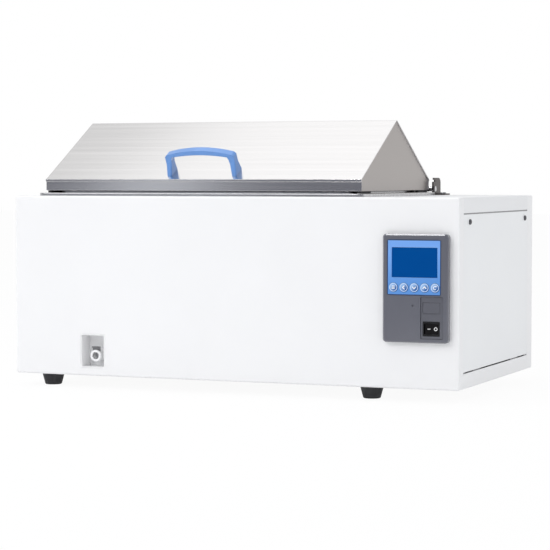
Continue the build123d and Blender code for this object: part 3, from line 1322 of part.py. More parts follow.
def switch_body():
    """Housing of the mains switch, with bearings for the rocker."""
    y0 = INSERT_Y
    body = rounded_block(SWITCH_CX - SWITCH_W / 2, SWITCH_CX + SWITCH_W / 2, y0, y0 + SWITCH_FLANGE,
                         SWITCH_CZ - SWITCH_H / 2, SWITCH_CZ + SWITCH_H / 2, 0.9, Axis.Y)
    half = SWITCH_BODY_W / 2
    body += block(SWITCH_CX - half, SWITCH_CX + half, y0 + SWITCH_FLANGE - 0.5, y0 + SWITCH_BODY_DEEP,
                  SWITCH_CZ - SWITCH_BODY_H / 2, SWITCH_CZ + SWITCH_BODY_H / 2)
    window = ROCKER_SWEEP + ROCKER_GAP
    z0 = SWITCH_CZ - ROCKER_H / 2 - ROCKER_GAP
    z1 = SWITCH_CZ + ROCKER_H / 2 + ROCKER_GAP
    body -= block(SWITCH_CX - window, SWITCH_CX + window, y0 - 1, PIVOT_Y + 2 * ROCKER_BACK_HALF, z0, z1)
    pin_z = ROCKER_H / 2 + ROCKER_PIN_L + ROCKER_GAP
    body -= rod_z(SWITCH_CZ - pin_z, SWITCH_CZ + pin_z, SWITCH_CX, PIVOT_Y, ROCKER_PIN_R + FIT)
    for s in (-1, 0, 1):
        body += block(SWITCH_CX + s * 7 - 2.4, SWITCH_CX + s * 7 + 2.4, y0 + SWITCH_BODY_DEEP,
                      y0 + SWITCH_BODY_DEEP + 7, SWITCH_CZ - 0.4, SWITCH_CZ + 0.4)
    return body


def switch_rocker():
    """Rocker with a face of two planes, resting with its right half pressed."""
    face = make_face(Polyline((0, -ROCKER_PIVOT), (ROCKER_HALF, -ROCKER_END),
                              (ROCKER_BACK_HALF, ROCKER_BACK), (-ROCKER_BACK_HALF, ROCKER_BACK),
                              (-ROCKER_HALF, -ROCKER_END), close=True))
    rocker = extrude(face, ROCKER_H / 2, both=True)
    rocker = fillet([e for e in rocker.edges().filter_by(Axis.Z) if e.center().Y < 0.01 - ROCKER_END], 0.4)
    rocker += Cylinder(ROCKER_PIN_R, ROCKER_H + 2 * ROCKER_PIN_L)
    return Pos(SWITCH_CX, PIVOT_Y, SWITCH_CZ) * Rot(0, 0, ROCKER_TILT) * rocker


# Drain


OUTLET_Y = FRONT + OUTLET_FROM_FRONT


def drain_cup():
    """White cup behind the front panel, with a flange glued to the panel's back."""
    x0 = RECESS_X0
    x1 = RECESS_X0 + RECESS_W
    z0 = RECESS_Z0
    z1 = RECESS_Z0 + RECESS_H
    wall = RECESS_WALL
    cup = rounded_block(x0, x1, FRONT, CUP_BACK + wall, z0, z1, RECESS_R - SEAM, Axis.Y)
    fl = RECESS_FLANGE
    cup += rounded_block(x0 - fl, x1 + fl, FRONT + SHEET, FRONT + SHEET + wall, z0 - fl, z1 + fl, 3, Axis.Y)
    cup -= rounded_block(x0 + wall, x1 - wall, FRONT - 1, CUP_BACK, z0 + wall, z1 - wall, 0.8, Axis.Y)
    cup -= rod_y(CUP_BACK - 1, CUP_BACK + 2 * wall, COUPLING_X, COUPLING_Z, SPIGOT_NECK_R + FIT)
    return cup


COUPLING_END = CUP_BACK + RECESS_WALL + COUPLING_NUT_T + 1


def drain_coupling():
    """Panel half of a quick-disconnect coupling: socket, valve chamber and hose spigot."""
    x = COUPLING_X
    z = COUPLING_Z
    y0 = COUPLING_Y
    body = rod_y(y0, CUP_BACK - COUPLING_COLLAR_T, x, z, COUPLING_R)
    body = chamfer(body.edges().filter_by(GeomType.CIRCLE).sort_by(Axis.Y)[0], 1.0)
    body += rod_y(CUP_BACK - COUPLING_COLLAR_T, CUP_BACK, x, z, COUPLING_COLLAR_R)
    body += rod_y(CUP_BACK, COUPLING_END, x, z, SPIGOT_NECK_R)
    body += rod_y(COUPLING_END, COUPLING_END + SPIGOT_L, x, z, SPIGOT_R)
    body -= rod_y(y0 - 1, y0 + SOCKET_L, x, z, SOCKET_R)
    body -= rod_y(y0 + SOCKET_L, y0 + SOCKET_L + VALVE_L, x, z, VALVE_R)
    body -= rod_y(y0, COUPLING_END + SPIGOT_L + 1, x, z, SPIGOT_BORE_R)
    slot_y0 = y0 + LATCH_FROM_MOUTH - LATCH_GAP
    slot_y1 = y0 + LATCH_FROM_MOUTH + LATCH_T + LATCH_GAP
    half = LATCH_W / 2 + LATCH_GAP
    body -= block(x - half, x + half, slot_y0, slot_y1, z - 2 * COUPLING_R, z + 2 * COUPLING_R)
    return body


def coupling_nut():
    y0 = CUP_BACK + RECESS_WALL
    nut = hexagon_y(y0, y0 + COUPLING_NUT_T, COUPLING_X, COUPLING_Z, COUPLING_NUT_FLATS)
    return nut - rod_y(y0 - 1, y0 + COUPLING_NUT_T + 1, COUPLING_X, COUPLING_Z, SPIGOT_NECK_R + FIT)


def drain_latch():
    """Thumb latch: a plate across the socket with a tab on its top."""
    x = COUPLING_X
    z = COUPLING_Z
    y0 = COUPLING_Y + LATCH_FROM_MOUTH
    plate = block(x - LATCH_W / 2, x + LATCH_W / 2, y0, y0 + LATCH_T, z - LATCH_LOW, z + LATCH_TOP)
    plate = fillet([e for e in plate.edges().filter_by(Axis.Y) if e.center().Z < z], 2.5)
    plate -= rod_y(y0 - 1, y0 + LATCH_T + 1, x, z, LATCH_HOLE_R)
    plate -= block(x - LATCH_HOLE_R, x + LATCH_HOLE_R, y0 - 1, y0 + LATCH_T + 1, z, z + LATCH_TRAVEL)
    plate -= rod_y(y0 - 1, y0 + LATCH_T + 1, x, z + LATCH_TRAVEL, LATCH_HOLE_R)
    tab = block(x - LATCH_W / 2, x + LATCH_W / 2, y0 - THUMB_REACH, y0 + LATCH_T, z + LATCH_TOP,
                z + LATCH_TOP + THUMB_T)
    front = [e for e in tab.edges().filter_by(Axis.Z) if e.center().Y < y0 - THUMB_REACH + 0.01]
    return plate + fillet(front, 2.5)


def drain_poppet():
    """Valve disc that shuts the socket while nothing is plugged in."""
    y0 = COUPLING_Y + SOCKET_L + POPPET_BACK_GAP
    disc = rod_y(y0, y0 + POPPET_L, COUPLING_X, COUPLING_Z, VALVE_R - POPPET_GAP)
    return disc - rod_y(y0 + 2, y0 + POPPET_L + 1, COUPLING_X, COUPLING_Z, SPIGOT_BORE_R + 1)


def hose_route():
    start = (COUPLING_X, COUPLING_END + 1, COUPLING_Z)
    corner = (COUPLING_X, OUTLET_Y, COUPLING_Z)
    end = (COUPLING_X, OUTLET_Y, TANK_FLOOR - TANK_SHEET - OUTLET_FLANGE_T - 1)
    return [start, corner, end]


def drain_hose():
    """Hose from the tank's outlet to the coupling, with one large bend."""
    outer = tube(hose_route(), HOSE_BEND, SPIGOT_R + FIT + HOSE_WALL)
    bore = tube(hose_route(), HOSE_BEND, SPIGOT_R + FIT)
    return outer - bore


def hose_clamps():
    r_in = SPIGOT_R + FIT + HOSE_WALL
    y = COUPLING_END + 6
    ring = rod_y(y, y + CLAMP_W, COUPLING_X, COUPLING_Z, r_in + CLAMP_T + FIT)
    ring -= rod_y(y - 1, y + CLAMP_W + 1, COUPLING_X, COUPLING_Z, r_in + FIT)
    z = TANK_FLOOR - TANK_SHEET - OUTLET_FLANGE_T - 6
    upper = rod_z(z - CLAMP_W, z, COUPLING_X, OUTLET_Y, r_in + CLAMP_T + FIT)
    upper -= rod_z(z - CLAMP_W - 1, z + 1, COUPLING_X, OUTLET_Y, r_in + FIT)
    return group([ring, upper])


# Electronics


def divider_panel():
    """Sheet between the tank's jacket and the electronics, with a foot, a head and board posts."""
    x0 = DIVIDER_X
    x1 = DIVIDER_X + DIVIDER_T
    z0 = BOTTOM + SHEET
    z1 = WALL_Z1
    y0 = FRONT + DIVIDER_FRONT
    y1 = BACK - DIVIDER_BACK
    wall = block(x0, x1, y0, y1, z0, z1)
    foot = block(x0, x0 + DIVIDER_FOOT, y0, y1, z0, z0 + DIVIDER_T)
    head = block(x0, x0 + DIVIDER_FOOT, y0, y1, DECK - SHEET - DIVIDER_T, DECK - SHEET)
    neck = block(x0, x1, y0, y1, z1 - 1, DECK - SHEET)
    panel = wall + foot + head + neck
    reach = (HEATER_PITCH + TUBE_SPREAD) / 2 + LEAD_WINDOW_SPARE
    panel -= block(x0 - 1, x1 + 1, LID_CY - reach, LID_CY + reach, BOTTOM + LEAD_WINDOW_LOW, WINDOW_Z1)
    for y, z in board_corners():
        panel += rod_x(x1 - 0.5, x1 + STANDOFF_L, y, z, STANDOFF_R)
        panel -= rod_x(x0 - 1, x1 + STANDOFF_L + 1, y, z, M3_R + FIT)
    return panel


BOARD_X0 = DIVIDER_X + DIVIDER_T + STANDOFF_L
BOARD_FACE = BOARD_X0 + PCB_T


def board_corners():
    ys = (BOARD_Y0 + BOARD_MARGIN, BOARD_Y0 + BOARD_L - BOARD_MARGIN)
    zs = (BOARD_Z0 + BOARD_MARGIN, BOARD_Z0 + BOARD_H - BOARD_MARGIN)
    return [(y, z) for y in ys for z in zs]


def control_board():
    board = block(BOARD_X0, BOARD_FACE, BOARD_Y0, BOARD_Y0 + BOARD_L, BOARD_Z0, BOARD_Z0 + BOARD_H)
    for y, z in board_corners():
        board -= rod_x(BOARD_X0 - 1, BOARD_FACE + 1, y, z, M3_R + FIT)
    return board


def on_board(size, y, z):
    """A block of a given depth, length and height on the board's face."""
    return block(BOARD_FACE, BOARD_FACE + size[0], BOARD_Y0 + y, BOARD_Y0 + y + size[1],
                 BOARD_Z0 + z, BOARD_Z0 + z + size[2])


def board_parts():
    """Transformer, relays, capacitors and connectors on the control board."""
    _, relay_l, relay_h = BOARD_RELAY
    solids = [on_board(TRAFO, TRAFO_SIDE, BOARD_H - TRAFO_DROP - TRAFO[2])]
    for i in range(2):
        relay_y = BOARD_L - BOARD_RELAY_SIDE - relay_l - i * (relay_l + PART_GAP)
        solids.append(on_board(BOARD_RELAY, relay_y, BOARD_H - BOARD_RELAY_DROP - relay_h))
    for y in (BOARD_L / 2 - PART_GAP / 2 - CONNECTOR[1], BOARD_L / 2 + PART_GAP / 2):
        solids.append(on_board(CONNECTOR, y, CONNECTOR_UP))
    for i in range(3):
        y = BOARD_Y0 + BOARD_L / 5 + i * CAP_PITCH
        solids.append(rod_x(BOARD_FACE, BOARD_FACE + CAP_L, y, BOARD_Z0 + BOARD_H / 3, CAP_R))
    return group(solids)


SINK_TOP = BOTTOM + SHEET + SINK_H


def heat_sink():
    """Finned sink on the base pan, fins down, under the relay."""
    x0 = SINK_X - SINK_W / 2
    y0 = LID_CY - SINK_L / 2
    z0 = BOTTOM + SHEET
    sink = block(x0, x0 + SINK_W, y0, y0 + SINK_L, SINK_TOP - SINK_BASE, SINK_TOP)
    pitch = (SINK_W - SINK_FIN_T) / (SINK_FINS - 1)
    for i in range(SINK_FINS):
        fin_x = x0 + i * pitch
        sink += block(fin_x, fin_x + SINK_FIN_T, y0, y0 + SINK_L, z0, SINK_TOP - SINK_BASE)
    return sink


def power_relay():
    """Solid-state relay on the heat sink, with four terminal screws."""
    body = block(SINK_X - RELAY_W / 2, SINK_X + RELAY_W / 2, LID_CY - RELAY_L / 2, LID_CY + RELAY_L / 2,
                 SINK_TOP, SINK_TOP + RELAY_H)
    body = chamfer(body.faces().sort_by(Axis.Z)[-1].edges(), 2.0)
    for sx in (-1, 1):
        for sy in (-1, 1):
            body += rod_z(SINK_TOP + RELAY_H - 1, SINK_TOP + RELAY_H + RELAY_SCREW_H,
                          SINK_X + sx * RELAY_SCREW_X, LID_CY + sy * RELAY_SCREW_Y, RELAY_SCREW_R)
    return body


TERMINAL_Y0 = BACK - TERMINAL_FROM_BACK - TERMINAL_L / 2
TERMINAL_TOP = BOTTOM + SHEET + TERMINAL_H


def pole_y(index):
    return TERMINAL_Y0 + (index + 0.5) * TERMINAL_L / TERMINAL_POLES


def terminal_block():
    """Block of screw terminals on the base pan."""
    strip = block(TERMINAL_X - TERMINAL_W / 2, TERMINAL_X + TERMINAL_W / 2,
                  TERMINAL_Y0, TERMINAL_Y0 + TERMINAL_L, BOTTOM + SHEET, TERMINAL_TOP)
    for i in range(TERMINAL_POLES):
        for s in (-1, 1):
            strip -= rod_z(TERMINAL_TOP - 5, TERMINAL_TOP + 1, TERMINAL_X + s * TERMINAL_HOLE_X, pole_y(i),
                           TERMINAL_HOLE_R)
    return strip


INLET_Z = BOTTOM + INLET_UP


def power_inlet():
    """Three-pin mains inlet, flange on the outside of the rear panel."""
    y1 = BACK + INLET_FLANGE
    body = rounded_block(INLET_X - INLET_W / 2, INLET_X + INLET_W / 2, BACK, y1, INLET_Z - INLET_H / 2,
                         INLET_Z + INLET_H / 2, 3.0, Axis.Y)
    body += block(INLET_X - INLET_BODY_W / 2, INLET_X + INLET_BODY_W / 2, BACK - INLET_DEEP, BACK + 0.5,
                  INLET_Z - INLET_BODY_H / 2, INLET_Z + INLET_BODY_H / 2)
    cavity = block(INLET_X - INLET_CAVITY_W / 2, INLET_X + INLET_CAVITY_W / 2, y1 - INLET_CAVITY_DEEP, y1 + 1,
                   INLET_Z - INLET_CAVITY_H / 2, INLET_Z + INLET_CAVITY_H / 2)
    corners = [e for e in cavity.edges().filter_by(Axis.Y) if e.center().Z > INLET_Z]
    body -= chamfer(corners, INLET_CORNER)
    for x, z in inlet_screw_places():
        body -= rod_y(BACK - 1, y1 + 1, x, z, M3_R + FIT)
    for x, z in inlet_pin_places():
        w, h = PIN_BLADE
        body -= block(x - w / 2 - FIT, x + w / 2 + FIT, BACK - INLET_DEEP - 1, y1,
                      z - h / 2 - FIT, z + h / 2 + FIT)
    return body


def inlet_pin_places():
    return [(INLET_X - PIN_SPREAD, INLET_Z - 1.5), (INLET_X, INLET_Z + PIN_EARTH_UP),
            (INLET_X + PIN_SPREAD, INLET_Z - 1.5)]


def inlet_pins():
    w, h = PIN_BLADE
    y1 = BACK + INLET_FLANGE - 3
    return group([block(x - w / 2, x + w / 2, y1 - PIN_BLADE_L, y1, z - h / 2, z + h / 2)
                  for x, z in inlet_pin_places()])


def small_screws():
    """Small screws of the hinge brackets, the bezel, the control board and the mains inlet."""
    bracket_bolt = screw(M3_R, M3_HEAD_R, M3_HEAD_H, EAR_T + SHEET + 3)
    bezel_bolt = screw(M3_R, M3_HEAD_R, M3_HEAD_H, SHEET + BEZEL_PROUD - BEZEL_FACE - 1)
    board_bolt = screw(M3_R, M3_HEAD_R, M3_HEAD_H, PCB_T + STANDOFF_L - 1)
    inlet_bolt = screw(M3_R, M3_HEAD_R, M3_HEAD_H, INLET_FLANGE + SHEET + 3)
    solids = [aimed(bracket_bolt, (x, y, DECK + EAR_T), "+z") for x, y in bracket_screw_places()]
    solids += [aimed(bezel_bolt, (x, FRONT + SHEET, z), "+y") for x, z in boss_places()]
    solids += [aimed(board_bolt, (BOARD_FACE, y, z), "+x") for y, z in board_corners()]
    solids += [aimed(inlet_bolt, (x, BACK + INLET_FLANGE, z), "+y") for x, z in inlet_screw_places()]
    return group(solids)


def heater_leads():
    """Leads from the relay and the terminal block to the ends of the heaters."""
    x_tail = TANK_WALL_X + HEATER_TAIL
    z_tail = HEATER_LEVEL
    runs = [y for pair in heater_levels() for y in pair]
    relay_x = SINK_X - RELAY_SCREW_X
    relay_z = SINK_TOP + RELAY_H + RELAY_SCREW_H
    pole_x = TERMINAL_X - TERMINAL_HOLE_X
    solids = []
    for y, relay_y in ((runs[1], LID_CY - RELAY_SCREW_Y), (runs[2], LID_CY + RELAY_SCREW_Y)):
        points = [(x_tail, y, z_tail), (x_tail + LEAD_START, y, z_tail), (relay_x, relay_y, z_tail),
                  (relay_x, relay_y, relay_z)]
        solids.append(tube(points, LEAD_BEND, LEAD_R))
    near = pole_y(TERMINAL_POLES - 1)
    solids.append(tube([(x_tail, runs[3], z_tail), (pole_x, runs[3], z_tail), (pole_x, near, z_tail),
                        (pole_x, near, TERMINAL_TOP)], LEAD_BEND, LEAD_R))
    far = pole_y(0)
    z_over = z_tail + LEAD_LIFT
    solids.append(tube([(x_tail, runs[0], z_tail), (pole_x, runs[0], z_tail), (pole_x, runs[0], z_over),
                        (pole_x, far, z_over), (pole_x, far, TERMINAL_TOP)], LEAD_BEND, LEAD_R))
    return group(solids)


NODES = {
    "base_pan": base_pan,
    "front_panel": front_panel,
    "rear_panel": rear_panel,
    "top_deck": top_deck,
    "left_side_cover": lambda: side_cover(-1),
    "right_side_cover": lambda: side_cover(1),
    "case_screws": case_screws,
    "cover_rails": cover_rails,
    "seam_frames": seam_frames,
    "rubber_feet": rubber_feet,
    "foot_bolts": foot_bolts,
    "tank": tank,
    "tank_jacket": tank_jacket,
    "tank_rails": tank_rails,
    "heaters": heaters,
    "heater_saddles": heater_saddles,
    "wall_glands": wall_glands,
    "temperature_probe": temperature_probe,
    "overheat_cutout": overheat_cutout,
    "perforated_tray": perforated_tray,
    "lid_roof": lid_roof,
    "lid_gables": lid_gables,
    "lid_bumpers": lid_bumpers,
    "lid_handle": lid_handle,
    "hinge_brackets": hinge_brackets,
    "hinge_pins": hinge_pins,
    "lid_hinge_arms": lid_hinge_arms,
    "lid_screws": lid_screws,
    "control_bezel": control_bezel,
    "keypad_overlay": keypad_overlay,
    "display_window": display_window,
    "display_module": display_module,
    "display_board": display_board,
    "key_contacts": key_contacts,
    "menu_key": lambda: key(0),
    "left_key": lambda: key(1),
    "down_key": lambda: key(2),
    "up_key": lambda: key(3),
    "return_key": lambda: key(4),
    "switch_insert": switch_insert,
    "blank_plate": blank_plate,
    "switch_body": switch_body,
    "switch_rocker": switch_rocker,
    "drain_cup": drain_cup,
    "drain_coupling": drain_coupling,
    "coupling_nut": coupling_nut,
    "drain_latch": drain_latch,
    "drain_poppet": drain_poppet,
    "drain_hose": drain_hose,
    "hose_clamps": hose_clamps,
    "divider_panel": divider_panel,
    "control_board": control_board,
    "board_parts": board_parts,
    "heat_sink": heat_sink,
    "power_relay": power_relay,
    "terminal_block": terminal_block,
    "power_inlet": power_inlet,
    "inlet_pins": inlet_pins,
    "small_screws": small_screws,
    "heater_leads": heater_leads,
}

os.makedirs("parts", exist_ok=True)
for name, make in NODES.items():
    export_step(make(), f"parts/{name}.step")
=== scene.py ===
import bpy
import bmesh
import json
import math
from mathutils import Matrix, Vector


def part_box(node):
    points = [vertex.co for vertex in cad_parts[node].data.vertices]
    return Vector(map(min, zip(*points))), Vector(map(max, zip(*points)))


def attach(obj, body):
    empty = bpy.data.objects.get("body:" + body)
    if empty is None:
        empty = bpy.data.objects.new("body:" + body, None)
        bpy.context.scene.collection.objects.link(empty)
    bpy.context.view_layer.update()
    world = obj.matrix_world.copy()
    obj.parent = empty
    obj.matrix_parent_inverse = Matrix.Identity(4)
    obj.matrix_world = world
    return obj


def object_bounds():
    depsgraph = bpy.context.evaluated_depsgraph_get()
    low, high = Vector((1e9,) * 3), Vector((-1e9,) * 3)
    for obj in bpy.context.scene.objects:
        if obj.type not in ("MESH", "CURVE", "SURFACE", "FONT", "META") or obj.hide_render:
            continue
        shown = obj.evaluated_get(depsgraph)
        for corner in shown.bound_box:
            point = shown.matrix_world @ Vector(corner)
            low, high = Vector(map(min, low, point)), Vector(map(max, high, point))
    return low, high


# Laboratory water bath, in metres. The front faces -Y and +X is to the viewer's right.

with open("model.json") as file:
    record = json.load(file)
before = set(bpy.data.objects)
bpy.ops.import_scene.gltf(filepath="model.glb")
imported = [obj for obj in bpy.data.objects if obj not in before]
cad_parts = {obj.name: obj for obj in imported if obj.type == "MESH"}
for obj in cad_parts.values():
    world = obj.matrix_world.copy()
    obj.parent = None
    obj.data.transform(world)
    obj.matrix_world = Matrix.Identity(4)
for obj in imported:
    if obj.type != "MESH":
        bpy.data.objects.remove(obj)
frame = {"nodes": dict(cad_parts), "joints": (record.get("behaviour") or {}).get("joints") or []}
cad_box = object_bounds()
nodes = frame["nodes"]

MM = 0.001


# Materials


class Graph:
    """A small helper that builds one material's node tree."""

    def __init__(self, name):
        self.material = bpy.data.materials.new(name)
        self.material.use_nodes = True
        self.tree = self.material.node_tree
        self.tree.nodes.clear()
        self.out = self.tree.nodes.new("ShaderNodeOutputMaterial")
        self.shader = self.tree.nodes.new("ShaderNodeBsdfPrincipled")
        self.link(self.shader, "BSDF", self.out, "Surface")
        self.coords = self.tree.nodes.new("ShaderNodeTexCoord")

    def link(self, a, a_name, b, b_name):
        self.tree.links.new(a.outputs[a_name], b.inputs[b_name])

    def node(self, kind, **values):
        made = self.tree.nodes.new(kind)
        for key, value in values.items():
            setattr(made, key, value)
        return made

    def set(self, **values):
        for key, value in values.items():
            self.shader.inputs[key.replace("_", " ")].default_value = value

    def stretched(self, scale):
        """Object coordinates scaled along each axis."""
        mapping = self.node("ShaderNodeMapping")
        mapping.inputs["Scale"].default_value = scale
        self.link(self.coords, "Object", mapping, "Vector")
        return mapping

    def noise(self, scale, detail=3.0, stretch=(1, 1, 1), rough=0.5):
        made = self.node("ShaderNodeTexNoise")
        made.inputs["Scale"].default_value = scale
        made.inputs["Detail"].default_value = detail
        made.inputs["Roughness"].default_value = rough
        self.link(self.stretched(stretch), "Vector", made, "Vector")
        return made

    def ramp(self, source, output, low, high, from_min=0.3, from_max=0.7):
        """Turns a noise value into a range of plain numbers."""
        made = self.node("ShaderNodeMapRange")
        made.inputs["From Min"].default_value = from_min
        made.inputs["From Max"].default_value = from_max
        made.inputs["To Min"].default_value = low
        made.inputs["To Max"].default_value = high
        self.link(source, output, made, "Value")
        return made

    def tint(self, source, output, dark, light):
        """Mixes two close colours by a texture."""
        made = self.node("ShaderNodeMix", data_type="RGBA")
        made.inputs[6].default_value = (*dark, 1)
        made.inputs[7].default_value = (*light, 1)
        self.tree.links.new(source.outputs[output], made.inputs[0])
        self.tree.links.new(made.outputs[2], self.shader.inputs["Base Color"])
        return made

    def overlay(self, base, mask, color):
        """Lays a plain colour over a mixed one where a mask is 1."""
        made = self.node("ShaderNodeMix", data_type="RGBA")
        made.inputs[7].default_value = (*color, 1)
        self.tree.links.new(mask.outputs["Result"], made.inputs[0])
        self.tree.links.new(base.outputs[2], made.inputs[6])
        self.tree.links.new(made.outputs[2], self.shader.inputs["Base Color"])

    def box_mask(self, axis, start, end):
        """Rises from 0 to 1 between two shares of the piece's box."""
        parts = self.node("ShaderNodeSeparateXYZ")
        self.link(self.coords, "Generated", parts, "Vector")
        return self.ramp(parts, axis, 0, 1, start, end)

    def bump(self, source, output, strength, distance, edge=0.0):
        """Fine relief, laid over edges that are rounded by a radius."""
        made = self.node("ShaderNodeBump")
        made.inputs["Strength"].default_value = strength
        made.inputs["Distance"].default_value = distance
        self.link(source, output, made, "Height")
        if edge:
            self.link(self.rounded(edge), "Normal", made, "Normal")
        self.link(made, "Normal", self.shader, "Normal")

    def rounded(self, radius):
        made = self.node("ShaderNodeBevel", samples=4)
        made.inputs["Radius"].default_value = radius
        return made


def shade(color, factor):
    return tuple(min(1.0, c * factor) for c in color)


# Painted shade for the parts of a cover that lie in shadow behind a seam
HOOK_SHADE_COLOR = (0.16, 0.16, 0.17)


def paint(name, color, roughness=0.32, shaded_hooks=None):
    """Powder coat: an even colour with faint clouding and a fine orange peel.

    From the first to the second share of the box's width, the coat gives way to a dark colour that
    is painted shade.
    """
    g = Graph(name)
    clouds = g.noise(9, 2)
    ramp = g.ramp(clouds, "Fac", 0, 1)
    mix = g.tint(ramp, "Result", shade(color, 0.985), shade(color, 1.0))
    if shaded_hooks:
        g.overlay(mix, g.box_mask("X", *shaded_hooks), HOOK_SHADE_COLOR)
    peel = g.noise(1400, 2)
    g.bump(peel, "Fac", 0.08, 0.00008, edge=0.0006)
    g.set(Metallic=0.0, Roughness=roughness, Specular_IOR_Level=0.45)
    return g.material


BROAD_GRAIN = 0.11
PAINTED_SHADE_EDGE = 0.004
PAINTED_SHADE_FACTOR = 0.35


def brushed(name, color, grain, roughness=0.34, depth=0.35, spread=0.06, edge=0.0003,
            painted_shade_from=None):
    """Metal with a fine directional grain. The grain's stretch is small along the brushing.

    Above a share of the box's height the metal is darkened as painted shade.
    """
    g = Graph(name)
    fine = g.noise(1.0, 3, grain)
    broad = g.noise(1.0, 2, tuple(v * BROAD_GRAIN for v in grain))
    both = g.node("ShaderNodeMath", operation="ADD")
    half = g.node("ShaderNodeMath", operation="MULTIPLY")
    half.inputs[1].default_value = 0.5
    g.tree.links.new(fine.outputs["Fac"], both.inputs[0])
    g.tree.links.new(broad.outputs["Fac"], both.inputs[1])
    g.tree.links.new(both.outputs[0], half.inputs[0])
    ramp = g.ramp(half, "Value", 0, 1, 0.35, 0.65)
    mix = g.tint(ramp, "Result", shade(color, 1 - spread), shade(color, 1 + spread * 0.5))
    # Painted shade over the top of the box
    if painted_shade_from:
        g.overlay(mix, g.box_mask("Z", painted_shade_from, painted_shade_from + PAINTED_SHADE_EDGE), shade(color, PAINTED_SHADE_FACTOR))
    rough = g.ramp(half, "Value", roughness * 0.86, roughness * 1.14, 0.35, 0.65)
    g.link(rough, "Result", g.shader, "Roughness")
    g.bump(fine, "Fac", depth, 0.00003, edge=edge)
    g.set(Metallic=1.0)
    return g.material


def moulded(name, color, roughness, grain=900.0, strength=0.25, coat=0.0, spread=0.03,
            edge=0.0004, shine=0.5):
    """Plastic with a moulded texture."""
    g = Graph(name)
    spots = g.noise(26, 3)
    ramp = g.ramp(spots, "Fac", 0, 1)
    g.tint(ramp, "Result", shade(color, 1 - spread), shade(color, 1 + spread))
    skin = g.noise(grain, 2)
    g.bump(skin, "Fac", strength, 0.00008, edge=edge)
    g.set(Metallic=0.0, Roughness=roughness, Coat_Weight=coat, Coat_Roughness=0.08,
          Specular_IOR_Level=shine)
    return g.material


EDGE_LINE = (0.482, 0.490)


def gloss_gradient(name, light, dark, roughness, coat, along, line=None):
    """A gloss plastic whose colour turns from light to dark in a direction across the piece's box.

    A line runs round the box's edge if its colour is given.
    """
    g = Graph(name)
    from_middle = g.node("ShaderNodeVectorMath", operation="SUBTRACT")
    from_middle.inputs[1].default_value = (0.5, 0.5, 0.5)
    g.tree.links.new(g.coords.outputs["Generated"], from_middle.inputs[0])
    dot = g.node("ShaderNodeVectorMath", operation="DOT_PRODUCT")
    dot.inputs[1].default_value = along
    g.tree.links.new(from_middle.outputs[0], dot.inputs[0])
    ramp = g.ramp(dot, "Value", 0, 1, -0.3, 0.3)
    mix = g.tint(ramp, "Result", light, dark)
    if line:
        size = g.node("ShaderNodeVectorMath", operation="ABSOLUTE")
        g.tree.links.new(from_middle.outputs[0], size.inputs[0])
        parts = g.node("ShaderNodeSeparateXYZ")
        g.tree.links.new(size.outputs[0], parts.inputs[0])
        far = g.node("ShaderNodeMath", operation="MAXIMUM")
        g.tree.links.new(parts.outputs["X"], far.inputs[0])
        g.tree.links.new(parts.outputs["Z"], far.inputs[1])
        g.overlay(mix, g.ramp(far, "Value", 0, 1, *EDGE_LINE), line)
    skin = g.noise(1500, 2)
    g.bump(skin, "Fac", 0.1, 0.00008, edge=0.0005)
    g.set(Metallic=0.0, Roughness=roughness, Coat_Weight=coat, Coat_Roughness=0.06)
    return g.material


def rubber(name, color, roughness=0.72):
    """Rubber with a little dust on it."""
    g = Graph(name)
    dust = g.noise(60, 5, rough=0.65)
    ramp = g.ramp(dust, "Fac", 0, 1, 0.4, 0.75)
    g.tint(ramp, "Result", color, shade(color, 1.35))
    skin = g.noise(1600, 3)
    g.bump(skin, "Fac", 0.4, 0.00012, edge=0.0005)
    g.set(Metallic=0.0, Roughness=roughness, Specular_IOR_Level=0.35)
    return g.material


def foam(name, color):
    """Open-cell foam."""
    g = Graph(name)
    cells = g.node("ShaderNodeTexVoronoi", feature="F1")
    cells.inputs["Scale"].default_value = 700
    g.link(g.coords, "Object", cells, "Vector")
    ramp = g.ramp(cells, "Distance", 0, 1, 0.1, 0.7)
    g.tint(ramp, "Result", shade(color, 0.72), color)
    g.bump(cells, "Distance", 0.7, 0.0004)
    g.set(Metallic=0.0, Roughness=0.95, Sheen_Weight=0.2)
    return g.material


def board(name, color):
    """Circuit board: solder resist over faint tracks."""
    g = Graph(name)
    tracks = g.node("ShaderNodeTexBrick")
    tracks.inputs["Scale"].default_value = 160
    tracks.inputs["Mortar Size"].default_value = 0.06
    tracks.inputs["Color1"].default_value = (*color, 1)
    tracks.inputs["Color2"].default_value = (*shade(color, 0.8), 1)
    tracks.inputs["Mortar"].default_value = (*shade(color, 1.8), 1)
    g.link(g.coords, "Object", tracks, "Vector")
    g.link(tracks, "Color", g.shader, "Base Color")
    g.bump(tracks, "Fac", 0.3, 0.00005)
    g.set(Metallic=0.0, Roughness=0.35, Coat_Weight=0.4, Coat_Roughness=0.15)
    return g.material


ALONG_X = (6, 900, 900)
ALONG_Y = (900, 6, 900)
ALONG_Z = (900, 900, 6)
EVEN_FINE = (300, 300, 300)
EVEN_COARSE = (120, 120, 120)

# A side cover is coated on the outer part of its thickness; its hooks behind are darkened as
# painted shade, so the seams read as unbroken shadow lines
WHITE_DEPTH = 0.7 * MM
HOOK_SHADE_EDGE = 0.01
cover_lo, cover_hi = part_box("right_side_cover")
hook_shade_start = 1 - WHITE_DEPTH / (cover_hi[0] - cover_lo[0])

# The tank's upstand inside the lid is darkened as painted shade, for the shadow under the lid's
# gables
UPSTAND = 9.5 * MM
tank_lo, tank_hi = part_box("tank")
upstand_start = 1 - UPSTAND / (tank_hi[2] - tank_lo[2])

